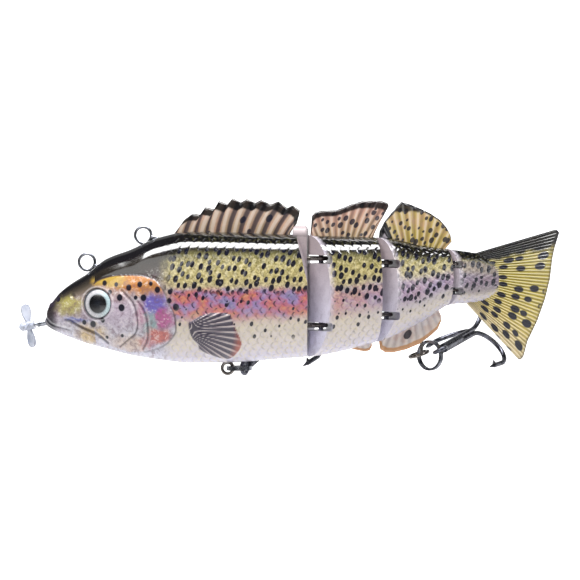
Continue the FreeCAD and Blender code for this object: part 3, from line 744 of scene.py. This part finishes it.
def skin_grooves(p, at, net):
    """Scale rims, and the pressed ticks that cut the shine along the back into dashes."""
    phase = p.math("FRACT", p.plus(p.math("DIVIDE", at.x, SCALE_LENGTH), p.times(at.band, 4.0)))
    tick = p.smooth(p.math("ABSOLUTE", p.minus(phase, 0.5)), 0.16, 0.04)
    window = p.times(p.smooth(at.band, 0.08, 0.12), p.smooth(at.band, 0.26, 0.20))
    tick = p.times(tick, window, at.body, -2.2)
    rims = p.times(net, p.smooth(at.band, 0.10, 0.24, -0.35, -0.8))
    grain = p.times(p.noise(at.straight, 5.0, 4.0, 0.6), 0.12)
    return p.plus(p.plus(rims, tick), grain)


def skin_paint(name):
    """The printed fish pattern under its clear lacquer, with a painted highlight beside the head's
    drawn lines and painted shade low on the belly.
    """
    p = Paint(name)
    at = SkinPlace(p)
    stripe = stripe_weight(p, at)
    forehead = forehead_weight(p, at)
    base = p.mix(at.head, body_colours(p, at, stripe), head_colours(p, at, forehead))
    base = p.mix(p.times(skin_ink(p, at), 0.98), base, "#0f1020")
    net = p.times(scale_net(p, at), at.body)
    weight = p.math("ADD", 0.12, p.times(stripe, 1.10), clamp=True)
    broken = p.smooth(p.noise(at.flat, 0.8, 3.0), 0.38, 0.60)
    base = p.mix(p.times(net, weight, broken), base, "#2a2038")
    base = drawn_lines(p, at, base)
    base = p.mix(p.attribute("pad"), base, pad_colours(p))
    base = worn_colours(p, at, base)
    p.bump(skin_grooves(p, at, net), 0.12)
    polished = p.math("MAXIMUM", p.smooth(at.height, 0.30, 0.12), forehead)
    rough = p.plus(0.22, p.times(p.noise(at.flat, 0.9, 4.0), 0.20))
    rough = p.times(rough, p.minus(1.0, p.times(polished, 0.8)))
    return p.surface(colour=base, rough=rough, coat=1.0, coat_rough=0.05, gloss=LACQUER_GLOSS)


def face_paint(name):
    """The pale joint faces, speckled where the paint has drifted on to them."""
    p = Paint(name)
    straight = p.attribute("straight", True)
    z = p.split(straight)[2]
    base = p.mix(p.smooth(z, -22.0, 6.0), "#d9d6e6", "#a79a9c")
    distance, tint = p.cells(straight, 2.6)
    speck = p.times(p.smooth(distance, 0.26, 0.16), p.smooth(tint[0], 0.40, 0.44), 0.5)
    base = p.mix(speck, base, "#6d5f6e")
    cloud = p.noise(straight, 0.45, 4.0)
    base = p.mix(p.times(p.smooth(cloud, 0.45, 0.7), 0.35), base, "#8f8390")
    p.bump(p.noise(straight, 4.0, 4.0), 0.1)
    rough = p.plus(0.38, p.times(cloud, 0.2))
    return p.surface(colour=base, rough=rough, coat=0.2, coat_rough=0.2)


def fin_surface(p, at, base):
    """Lacquer with a fine grain over a fin's print."""
    p.bump(p.noise(at.flat, 3.0, 5.0), 0.08)
    rough = p.plus(0.24, p.times(p.noise(at.flat, 1.1), 0.2))
    return p.surface(colour=base, rough=rough, coat=0.9, coat_rough=0.07, gloss=LACQUER_GLOSS)


def fin_paint(name, low, mid, edge, edge_from, spot, ray_dark, spot_scale=0.42, top_dark=0.0,
              lead=0.0, lead_dark=0.0):
    """A ribbed fin: cells between dark rays, an inked edge and scattered spots."""
    p = Paint(name)
    at = Place(p, 5.1)
    v = p.attribute("out")
    ray = p.attribute("ray")
    wander = p.plus(v, p.times(p.minus(p.noise(at.flat, 0.5), 0.5), 0.2))
    base = p.mix(wander, low, mid)
    tone = p.noise(at.flat, 0.35, 3.0)
    base = p.mix(p.times(p.smooth(tone, 0.45, 0.65), 0.45), base, "#c79a86")
    base = p.mix(p.times(p.smooth(ray, 0.45, 0.9), ray_dark), base, "#2c2733")
    base = p.mix(p.times(p.smooth(ray, 0.35, 0.05), 0.35), base, "#efe6da")
    ink = spots(p, at, spot_scale, 1.5, 55.0, 0.16, 0.36, spot)
    base = p.mix(p.times(ink, 0.9), base, "#181a2c")
    rim = p.smooth(p.plus(v, p.times(p.noise(at.flat, 0.7), 0.06)), edge_from, edge_from + 0.05)
    base = p.mix(p.times(rim, 0.95), base, edge)
    if top_dark:
        lid = p.plus(at.z, p.times(p.noise(at.flat, 0.4), 2.0))
        base = p.mix(p.times(p.smooth(lid, top_dark, top_dark + 1.0), 0.93), base, "#1b1b20")
    if lead:
        front = p.plus(p.attribute("fan"), p.times(p.noise(at.flat, 0.8), 0.02))
        base = p.mix(p.smooth(front, lead_dark + 0.01, lead_dark), base, "#111115")
        bare = p.times(p.smooth(front, lead + 0.01, lead), p.smooth(v, 0.80, 0.70))
        base = p.mix(bare, base, "#aaa2aa")
    return fin_surface(p, at, base)


def tail_paint(name):
    """The tail fan: fine pale and dark rays, navy ovals lying along them, a black top."""
    p = Paint(name)
    at = Place(p, 5.1)
    u = p.attribute("fan")
    v = p.attribute("out")
    ray = p.attribute("ray")
    base = p.ramp(p.plus(u, p.times(p.noise(at.flat, 0.3), 0.1)), TAIL_TINTS)
    broken = p.noise(p.join(p.times(v, 5.0), p.times(u, 60.0)), 1.0)
    groove = p.times(p.smooth(ray, 0.6, 0.95), p.smooth(broken, 0.35, 0.6), 0.6)
    base = p.mix(groove, base, "#4b4430")
    base = p.mix(p.times(p.smooth(ray, 0.3, 0.04), 0.45), base, "#f4efd8")
    cell = p.join(p.plus(p.times(v, 5.2), at.side), p.times(u, 11.0))
    distance, tint = p.cells(cell, 1.0, 0.50, flat=True)
    radius = p.plus(0.25, p.times(tint[0], 0.10))
    ink = p.times(p.smooth(p.minus(distance, radius), 0.05, -0.05),
                  p.smooth(tint[1], 0.97, 0.95),
                  p.smooth(v, 0.12, 0.2), p.smooth(v, 0.99, 0.93))
    base = p.mix(p.times(ink, 0.98), base, "#101228")
    lid = p.plus(p.plus(u, p.times(p.noise(at.flat, 0.5), 0.12)), p.times(v, 0.04))
    base = p.mix(p.times(p.smooth(lid, 0.27, 0.22), 0.98), base, "#0b0b0e")
    base = p.mix(p.times(p.smooth(v, 0.965, 0.985), 0.6), base, "#2e2a33")
    return fin_surface(p, at, base)


def solid_paint(name, light, dark, rough, metal=0.0, scale=900.0, coat=0.0, bump=0.03, **extra):
    """A plain material with mottling, fine scratches and uneven polish."""
    p = Paint(name)
    place = p.node("ShaderNodeTexCoord").outputs["Object"]
    cloud = p.noise(place, scale, 4.0, 0.6)
    x, y, z = p.split(place)
    streak = p.noise(p.join(x, p.times(y, 6.0), p.times(z, 3.0)), scale * 1.7, 5.0, 0.7)
    base = p.mix(p.smooth(cloud, 0.35, 0.68), light, dark)
    scratch = p.times(p.smooth(streak, 0.60, 0.72), 0.35)
    base = p.mix(scratch, base, p.mix(0.5, light, "#f2efe8"))
    p.bump(streak, bump)
    uneven = p.math("ADD", rough, p.times(p.minus(streak, 0.5), 0.22), clamp=True)
    return p.surface(colour=base, rough=uneven, metal=metal, coat=coat, **extra)


def eye_paint(name, centre):
    """A black pupil in a grey metallic iris under clear resin; distances in millimetres."""
    p = Paint(name)
    x, _, z = p.split(p.node("ShaderNodeTexCoord").outputs["Object"])
    dx = p.times(p.minus(x, centre[0]), 1.0 / (0.96 * MM))
    dz = p.times(p.minus(z, centre[1]), 1.0 / MM)
    reach = p.math("SQRT", p.plus(p.times(dx, dx), p.times(dz, dz)))
    turn = p.math("ARCTAN2", dz, dx)
    spoke = p.noise(p.join(p.times(turn, 5.0), p.times(reach, 0.7)), 2.0, 4.0, 0.7)
    iris = p.mix(p.smooth(spoke, 0.4, 0.62), "#aab6bb", "#d3dadb")
    tinge = p.mix(p.smooth(dx, -1.0, 3.0), "#dcc6cc", "#9fd0d6")
    iris = p.mix(0.35, iris, tinge)
    iris = p.mix(p.smooth(reach, 3.3, 3.5), iris, "#55585e")
    iris = p.mix(p.times(p.smooth(reach, 2.75, 2.4), 0.6), iris, "#6d777d")
    base = p.mix(p.smooth(reach, 2.36, 2.26), iris, "#07080c")
    base = p.mix(p.times(p.smooth(reach, 1.5, 0.2), 0.25), base, "#2a3242")
    p.bump(spoke, 0.03)
    rough = p.plus(0.16, p.times(spoke, 0.16))
    return p.surface(colour=base, rough=rough, coat=1.0, coat_rough=0.02, gloss=0.6)


# ---- the skins -------------------------------------------------------------------
PAD_OUTLINE = smooth_line([
    (27.0, -14.6), (31.0, -12.5), (35.3, -12.0), (37.5, -12.5), (38.5, -15.0), (39.8, -18.3),
    (40.0, -20.3), (38.6, -22.4), (36.3, -23.8), (33.1, -23.2), (29.5, -21.5), (29.3, -20.3),
    (27.6, -18.0), (27.0, -14.6)], 4)
PAD_ROOT = (25.4, -16.4)
PAD_RAYS = 17


def pad_reach(x, z):
    """Inside the pectoral fin: how far in from its rim, and the fan angle in rays."""
    rim = line_distance(x, z, PAD_OUTLINE)
    within = inside(x, z, PAD_OUTLINE[:-1])
    turn = np.arctan2(z - PAD_ROOT[1], x - PAD_ROOT[0])
    return np.where(within, rim, -rim), (turn + 1.1) / 2.0 * PAD_RAYS


def skin_relief(x, z, f):
    """The raised pectoral fin, the head's drawing and the scales behind it."""
    reach, ray = pad_reach(x, z)
    out = np.where(x < 26.0, head_relief(x, z), 0.0) * smooth(x, 26.0, 24.5)
    rise = smooth(reach, -0.05, 0.5) * (0.42 + 0.10 * np.cos(2 * math.pi * ray))
    body_part = smooth(x, 19.0, 25.0) * smooth(reach, 0.0, -0.4)
    return out + rise + scale_relief(x, f) * body_part


def depth_in_wedge(x, y, joint, extra_radius=0.0, extra_angle=0.0):
    """How far inside the wedge of a joint each point is."""
    angle = math.radians(BEVEL[joint] + extra_angle)
    return (NOSE_RADIUS[joint] + extra_radius + (x - HINGE_X[joint]) * math.sin(angle)
            - np.abs(y) * math.cos(angle))


def paint_attributes(made, front, rear):
    """Everything the paint needs that depends on where a point is on the fish."""
    x, y, z = read(made.data.vertices, "co").T
    top, bottom, _ = profile(x)
    gill = line_distance(x, z, GILL_EDGE)
    plate = inside(x, z, GILL_PLATE) | (x < 3.0)
    drawn = np.minimum.reduce([
        line_distance(x, z, CHEEK_LINE), line_distance(x, z, COVER_LINE),
        line_distance(x, z, LIP_LINE) + 0.1,
        np.maximum(line_distance(x, z, MOUTH_LINE) - 0.12, 0),
        np.abs(np.hypot(x - EYE[0], z - EYE[1]) - EYE_RADIUS - 0.1) + 0.15])
    reach, ray = pad_reach(x, z)
    edge = np.full(len(x), 9.0)
    if front is not None:
        edge = np.minimum(edge, depth_in_wedge(x, y, front))
    if rear is not None:
        edge = np.minimum(edge, 1.4 - depth_in_wedge(x, y, rear, GAP, SWING[rear]))
    for name, values in (
            ("band", (top - z) / (top - bottom)), ("gill", np.where(plate, gill, -gill)),
            ("drawn", np.clip(drawn, 0, 5)), ("pad", smooth(reach, -0.02, 0.12)),
            ("pad_ray", 0.5 - 0.5 * np.cos(2 * math.pi * ray)),
            ("pad_reach", np.hypot(x - PAD_ROOT[0], z - PAD_ROOT[1])),
            ("edge", np.clip(edge, 0, 9))):
        write_attribute(made.data, name, values)


def paint_faces(made):
    """Skin faces take the paint; faces cut inside the body take the joint material."""
    faces = made.data.polygons
    x, y, z = read(faces, "center").T
    deep = half_width(x, z) - np.abs(y)
    corners = read(faces, "loop_total", 1, np.int32)[:, 0]
    seam = (np.abs(read(faces, "normal")[:, 1]) > 0.999) & (np.abs(y) < 0.02)
    inner = (deep > 0.8) & (np.abs(y) > 0.02) | (corners > 8) | seam
    inner &= x > -3.0
    faces.foreach_set("material_index", inner.astype(np.int32))


def split_halves(whole, segment, cavity, joints):
    """Parts a moulding on its middle plane into the left and right shells."""
    for side, label in SIDES:
        half = bpy.data.objects.new("%s_shell_%s_skin" % (BODIES[segment], label),
                                    whole.data.copy())
        bpy.context.scene.collection.objects.link(half)
        with edited(half) as bm:
            if cavity is not None:
                bm.from_mesh(cavity.data)
            border = keep_side(bm, side)
            bmesh.ops.triangle_fill(bm, use_beauty=True, edges=border, normal=(0, -side, 0))
        outward(half)
        paint_attributes(half, *joints)
        paint_faces(half)
        finish_piece(half, segment, label, SKIN)
    for made in (whole, cavity):
        if made is not None:
            remove(made)


def hollow(x0, x1, wall=1.7):
    """The hollow inside a moulding, as a closed skin."""
    made = skin_block("hollow", x0, x1, 24, 48, lambda x, z, f: 0.0 * x)
    points = read(made.data.vertices, "co")
    top, bottom, half = profile(points[:, 0])
    centre = 0.5 * (top + bottom)
    points[:, 1] *= 1 - wall / half
    points[:, 2] = centre + (points[:, 2] - centre) * (1 - wall / (0.5 * (top - bottom)))
    set_coordinates(made.data, points)
    return made


def spread(points, u):
    """Points at equal steps of length along a line."""
    points = np.array(points, float)
    steps = np.concatenate([[0], np.cumsum(np.hypot(*np.diff(points, axis=0).T))])
    steps = steps / steps[-1]
    return np.stack([np.interp(u, steps, points[:, 0]), np.interp(u, steps, points[:, 1])], 1)


def fin(name, segment, material, count, rays, base, tip, half=0.8, bow=0.0, ray_depth=0.16,
        levels=44):
    """A ribbed fin plate between its root line and its edge, as two halves."""
    u = np.linspace(0, 1, count)
    v = np.linspace(0, 1, levels)
    root, edge = spread(base, u), spread(tip, u)
    grid = root[:, None] + (edge - root)[:, None] * v[None, :, None]
    grid[..., 0] += bow * np.sin(math.pi * v)[None, :]
    wave = np.cos(2 * math.pi * rays * u)[:, None] * np.ones(levels)[None, :]
    thin = half * (1.0 - 0.35 * v)[None, :] * np.ones(count)[:, None]
    border = np.minimum(np.minimum(u, 1 - u)[:, None] * 40, (1 - v)[None, :] * 12)
    round_off = np.sqrt(1 - (1 - np.clip(border, 0, 1)) ** 2)
    depth = thin * (1 - ray_depth * (0.5 - 0.5 * wave) ** 2 * 2) * round_off
    index = np.arange(count * levels).reshape(count, levels)
    rim = np.zeros((count, levels), bool)
    rim[0], rim[-1], rim[:, -1] = True, True, True
    # the middle plane's points, except along the rim, where both faces share a point
    inner = np.where(rim, index, index + count * levels)
    faces = []
    for table, order in ((index, (0, 1, 2, 3)), (inner, (0, 3, 2, 1))):
        corners = [table[:-1, :-1], table[1:, :-1], table[1:, 1:], table[:-1, 1:]]
        faces += np.stack([corners[k].ravel() for k in order], 1).tolist()
    for i in range(count - 1):
        faces.append(list(dict.fromkeys(
            [index[i, 0], index[i + 1, 0], inner[i + 1, 0], inner[i, 0]])))
    faces = [face for face in faces if len(set(face)) > 2]
    for side, label in SIDES:
        outer = np.stack([grid[..., 0], side * depth, grid[..., 1]], -1).reshape(-1, 3)
        flat = outer * np.array([1, 0, 1])
        made = mesh_object("%s_%s" % (name, label), np.vstack([outer, flat]), faces)
        for attribute, value in (("fan", u[:, None] * np.ones(levels)),
                                 ("out", v[None, :] * np.ones((count, 1))),
                                 ("ray", 0.5 - 0.5 * wave)):
            write_attribute(made.data, attribute, np.tile(value.ravel(), 2))
        with edited(made) as bm:
            loose = [vert for vert in bm.verts if not vert.link_faces]
            bmesh.ops.delete(bm, geom=loose, context="VERTS")
        finish_piece(made, segment, label, [material], 50.0)


FACE = face_paint("joint_face")
SKIN = [skin_paint("fish_pattern"), FACE]
# the start and end of each moulding's skin, its steps along and around, and its hollow
MOULDINGS = [
    (-10.4, 62.0, 330, 264, (4.0, 49.0)),
    (50.0, 79.0, 150, 240, (62.7, 66.6)),
    (67.0, 96.5, 150, 220, (78.8, 82.2)),
    (85.0, 104.5, 110, 180, None)]
# the head's flanks end in cheeks on either side of the ridge under the spiny fin
CHEEK = [(52.2, 9.5), (54.9, 1.5), (56.9, -6.0), (70.0, -6.0), (70.0, 20.0), (52.2, 20.0)]
RIDGE_HALF_WIDTH = 2.3


def cut_socket(made, joint):
    boolean(made, wedge(joint, GAP, SWING[joint]), "DIFFERENCE")


def cut_nose(made, joint):
    boolean(made, wedge(joint, 0.0, 0.0), "INTERSECT")
    for height in LOOP_HEIGHTS[joint]:
        boolean(made, slot_cutter(joint, height), "DIFFERENCE")


for segment, (start, end, along, around, cavity) in enumerate(MOULDINGS):
    front = segment - 1 if segment > 0 else None
    rear = segment if segment < len(HINGE_X) else None
    whole = skin_block(BODIES[segment], start, end, along, around, skin_relief)
    if front is None:
        for low, high in ((-ACROSS, -RIDGE_HALF_WIDTH), (RIDGE_HALF_WIDTH, ACROSS)):
            boolean(whole, prism("cheek", CHEEK, low, high, axis=1), "DIFFERENCE")
    else:
        cut_nose(whole, front)
    if rear is not None:
        cut_socket(whole, rear)
    split_halves(whole, segment, hollow(*cavity) if cavity else None, (front, rear))

# ---- fins: root line, then edge, both from front to rear -----------------------------
fin("spiny_fin", 0,
    fin_paint("spiny_fin_pattern", "#9a8462", "#b99d8d", "#060608", 0.80, 0.30, 0.85, 0.40),
    300, 11,
    [(20.5, 3.5), (30.0, 4.8), (40.0, 5.0), (50.6, 4.4)],
    [(23.0, 8.2), (24.6, 10.6), (26.6, 12.1), (28.6, 11.9), (29.9, 13.8), (32.1, 13.2),
     (33.3, 15.3), (35.5, 14.5), (36.7, 16.0), (39.0, 15.0), (40.3, 15.8), (42.6, 14.9),
     (43.9, 15.6), (46.5, 14.5), (48.2, 15.3), (50.5, 13.6), (51.8, 14.3), (53.6, 13.0),
     (53.4, 11.7), (52.8, 9.6)], bow=-0.6)
fin("middle_fin", 1,
    fin_paint("soft_fin_pattern", "#b8a070", "#b98f86", "#0e0e12", 0.84, 0.80, 0.4, 0.60,
              lead=0.05, lead_dark=0.02),
    240, 12,
    [(57.4, 4.0), (63.0, 4.2), (71.4, 4.0)],
    [(56.2, 6.8), (56.6, 11.6), (57.4, 12.5), (59.0, 12.9), (62.5, 13.0), (64.2, 13.6),
     (66.7, 14.6), (69.2, 15.3), (73.6, 15.4), (75.4, 14.9), (75.8, 14.0), (74.9, 12.4),
     (73.3, 9.6)], bow=-0.3)
fin("rear_fin", 2,
    fin_paint("third_fin_pattern", "#b09b45", "#b89f66", "#131216", 0.95, 0.97, 0.3, 0.60,
              top_dark=13.2, lead=0.10, lead_dark=0.17),
    240, 11,
    [(75.6, 3.6), (80.0, 3.0), (88.8, 1.6)],
    [(73.2, 6.0), (73.4, 7.8), (74.7, 10.2), (76.8, 12.7), (78.9, 15.1), (81.4, 14.4),
     (83.9, 13.4), (86.5, 12.2), (89.0, 10.6), (90.8, 8.6), (91.8, 6.8), (92.1, 5.1)])
PALE = fin_paint("belly_fin_pattern", "#d9d4de", "#dccdc2", "#c79468", 0.86, 0.04, 0.16, 0.36)
fin("anal_fin", 2, PALE, 220, 10,
    [(75.6, -15.2), (82.0, -12.0), (88.2, -11.0)],
    [(73.2, -19.0), (73.6, -21.5), (74.9, -22.3), (76.8, -22.4), (80.2, -21.7), (84.0, -20.2),
     (86.6, -18.3), (88.5, -16.7), (89.4, -14.6), (89.2, -13.0)])
fin("pelvic_fin", 1, PALE, 110, 6,
    [(65.6, -17.4), (71.2, -17.2)],
    [(63.9, -19.5), (66.2, -21.3), (68.2, -21.8), (70.0, -22.1), (71.0, -21.8), (71.6, -20.8),
     (71.5, -19.2)])
fin("tail_fin", 3, tail_paint("tail_pattern"), 420, 38,
    [(96.0, 1.6), (95.4, -3.0), (95.4, -7.0), (95.8, -10.0)],
    [(119.6, 7.9), (120.4, 7.9), (121.0, 7.2), (119.8, 3.5), (119.2, 1.0), (118.5, -4.5),
     (117.2, -9.5), (115.1, -15.0), (112.5, -20.0), (111.4, -23.9), (110.6, -24.7),
     (109.9, -24.5)], half=1.0, ray_depth=0.14, levels=90)

# ---- the ridge under the end of the spiny fin, beside the first hinge ---------------
RIDGE_RADIUS = 2.2
RIDGE_HEIGHT = 6.9
RIDGE_STEPS = 24
ridge = []
for step in range(RIDGE_STEPS):
    turn = 2 * math.pi * step / RIDGE_STEPS
    ridge.append((RIDGE_RADIUS * math.cos(turn), RIDGE_HEIGHT + RIDGE_RADIUS * math.sin(turn)))
for side, label in SIDES:
    made = prism("ridge_" + label, ridge, 52.0, 58.0, axis=0)
    cut_socket(made, 0)
    with edited(made) as bm:
        bmesh.ops.triangle_fill(bm, edges=keep_side(bm, side))
        sharp = [edge for edge in bm.edges if edge.calc_face_angle(0) > 1.0]
        bmesh.ops.bevel(bm, geom=sharp, offset=0.25, segments=3, affect="EDGES")
    finish_piece(made, 0, label, [FACE])

# ---- finishes on the pieces whose CAD shape is the real one ---------------------------
eye_low, eye_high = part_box("eye_left")
EYE_MIDDLE = ((eye_low.x + eye_high.x) / 2, (eye_low.z + eye_high.z) / 2)
WIRE = solid_paint("bright_wire", "#a3a5ad", "#5f626b", 0.20, 1.0, 700.0)
DARK_WIRE = solid_paint("dark_wire", "#8f8a86", "#57514c", 0.26, 1.0, 800.0)
HOOK = solid_paint("hook_steel", "#6d6e78", "#33343c", 0.28, 1.0, 500.0)
FINISHES = {
    "eye_left": eye_paint("fish_eye", EYE_MIDDLE),
    "line_tie_front": WIRE, "line_tie_rear": WIRE,
    "belly_hook_hanger": DARK_WIRE, "rear_hook_hanger": DARK_WIRE,
    "belly_split_ring": WIRE, "rear_split_ring": WIRE,
    "belly_treble_hook": HOOK, "rear_treble_hook": HOOK,
    "propeller": solid_paint("clear_plastic", "#dfe3f0", "#bcc3d6", 0.18, 0.0, 500.0,
                             coat=0.4, through=0.35, ior=1.40),
    "propeller_shaft": WIRE,
    "stern_tube": solid_paint("chrome_tube", "#9fa2aa", "#5e6169", 0.12, 1.0, 900.0),
    "shaft_seal": solid_paint("seal_rubber", "#2b2b2d", "#1a1a1c", 0.6, 0.0, 800.0, bump=0.08),
    "motor_can": solid_paint("motor_steel", "#b6b8bd", "#8b8d93", 0.3, 1.0, 400.0),
    "motor_end_cap": solid_paint("end_cap_plastic", "#31343a", "#202226", 0.45, 0.0, 600.0),
    "battery_cell": solid_paint("cell_foil", "#b9bcc4", "#8f9399", 0.35, 0.8, 250.0, bump=0.1),
    "circuit_board": solid_paint("board_laminate", "#1f6b45", "#124a2e", 0.4, 0.0, 900.0),
    "status_light": solid_paint("light_lens", "#d94438", "#9d231c", 0.15, 0.0, 700.0,
                                coat=0.6),
    "ballast_weight": solid_paint("ballast_metal", "#6f7278", "#4b4e54", 0.5, 1.0, 350.0,
                                  bump=0.1),
}
FINISHES["eye_right"] = FINISHES["eye_left"]
for joint in (1, 2, 3):
    FINISHES["hinge_pin_%d" % joint] = WIRE
    for label in ("upper", "lower"):
        FINISHES["hinge_loop_%d_%s" % (joint, label)] = DARK_WIRE
for lead in ("contact_leads", "motor_leads", "battery_leads"):
    FINISHES[lead] = solid_paint(lead + "_insulation", "#a3262b", "#701519", 0.45, 0.0, 800.0)
for node, material in FINISHES.items():
    made = NODES[node]
    made.data.materials.clear()
    made.data.materials.append(material)

# ---- room, light and camera -----------------------------------------------------------
low, high = [list(corner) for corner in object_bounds()]
middle = [(a + b) / 2 for a, b in zip(low, high)]
floor_z = low[2] - 0.25
AZIMUTH, ELEVATION = math.radians(7.0), math.radians(2.0)
right = np.array([math.cos(AZIMUTH), math.sin(AZIMUTH), 0.0])
away = np.array([-math.sin(AZIMUTH) * math.cos(ELEVATION), math.cos(AZIMUTH)
                 * math.cos(ELEVATION), -math.sin(ELEVATION)])
upward = np.cross(right, away)


def stage_panel(name, corners, paint):
    panel = mesh_object(name, corners, [[0, 1, 2, 3]])
    panel.data.materials.append(paint)


ROOM = 4.0
WALL_Y = 1.4
WALL_HEIGHT = 0.7
stage_panel("floor", [(-ROOM, -3.0, floor_z), (ROOM, -3.0, floor_z), (ROOM, WALL_Y, floor_z),
                      (-ROOM, WALL_Y, floor_z)],
            solid_paint("floor_paint", "#f6f6f6", "#f2f2f2", 0.85, 0.0, 2.0, bump=0.01,
                        glow=0.08, glow_colour="#ffffff"))
wall_top = floor_z + WALL_HEIGHT
stage_panel("lit_wall", [(-ROOM, WALL_Y, floor_z), (ROOM, WALL_Y, floor_z),
                         (ROOM, WALL_Y, wall_top), (-ROOM, WALL_Y, wall_top)],
            solid_paint("wall_paint", "#ffffff", "#fdfdfd", 0.9, 0.0, 2.0, bump=0.01, glow=1.0,
                        glow_colour="#ffffff"))


def softbox(name, offset, size, power):
    """A rectangular lamp at an offset from the middle of the part, aimed at it."""
    lamp = bpy.data.lights.new(name, "AREA")
    lamp.shape = "RECTANGLE"
    lamp.size, lamp.size_y = size
    lamp.energy = power
    made = bpy.data.objects.new(name, lamp)
    bpy.context.scene.collection.objects.link(made)
    made.location = Vector(middle) + Vector(offset)
    made.rotation_euler = (-Vector(offset)).to_track_quat("-Z", "Y").to_euler()


softbox("overhead", (0.0, -0.14, 0.55), (0.8, 0.17), 9.0)
softbox("front_fill", (-0.45, -0.75, 0.62), (0.7, 0.6), 3.4)
softbox("front_right", (0.95, -0.4, 0.30), (0.5, 0.6), 2.2)
softbox("low_fill", (-0.1, -0.7, -0.2), (0.6, 0.2), 0.35)
softbox("back_rim", (0.0, 0.7, 0.5), (1.2, 0.5), 0.5)
# a dim white world for the part, and a full white one behind it for the camera
world = bpy.data.worlds.new("studio")
bpy.context.scene.world = world
world.use_nodes = True
sky = world.node_tree
dim = sky.nodes["Background"]
dim.inputs["Color"].default_value = (1, 1, 1, 1)
dim.inputs["Strength"].default_value = 0.05
seen = sky.nodes.new("ShaderNodeBackground")
seen.inputs["Color"].default_value = (1, 1, 1, 1)
blend = sky.nodes.new("ShaderNodeMixShader")
sky.links.new(sky.nodes.new("ShaderNodeLightPath").outputs["Is Camera Ray"], blend.inputs[0])
sky.links.new(dim.outputs[0], blend.inputs[1])
sky.links.new(seen.outputs[0], blend.inputs[2])
sky.links.new(blend.outputs[0], sky.nodes["World Output"].inputs[0])
bpy.context.scene.view_settings.view_transform = "Standard"

DISTANCE = 0.9
VIEW_WIDTH = 0.145
SENSOR = 36.0
AIM = (0.05075, -0.007)
camera_data = bpy.data.cameras.new("camera")
camera_data.sensor_width = SENSOR
camera_data.lens = SENSOR * DISTANCE / VIEW_WIDTH
camera_data.clip_end = 20.0
camera = bpy.data.objects.new("camera", camera_data)
bpy.context.scene.collection.objects.link(camera)
target = right * AIM[0] + upward * (AIM[1] / math.cos(ELEVATION))
camera.location = (target - away * DISTANCE).tolist()
camera.rotation_euler = Vector(away.tolist()).to_track_quat("-Z", "Y").to_euler()
bpy.context.scene.camera = camera
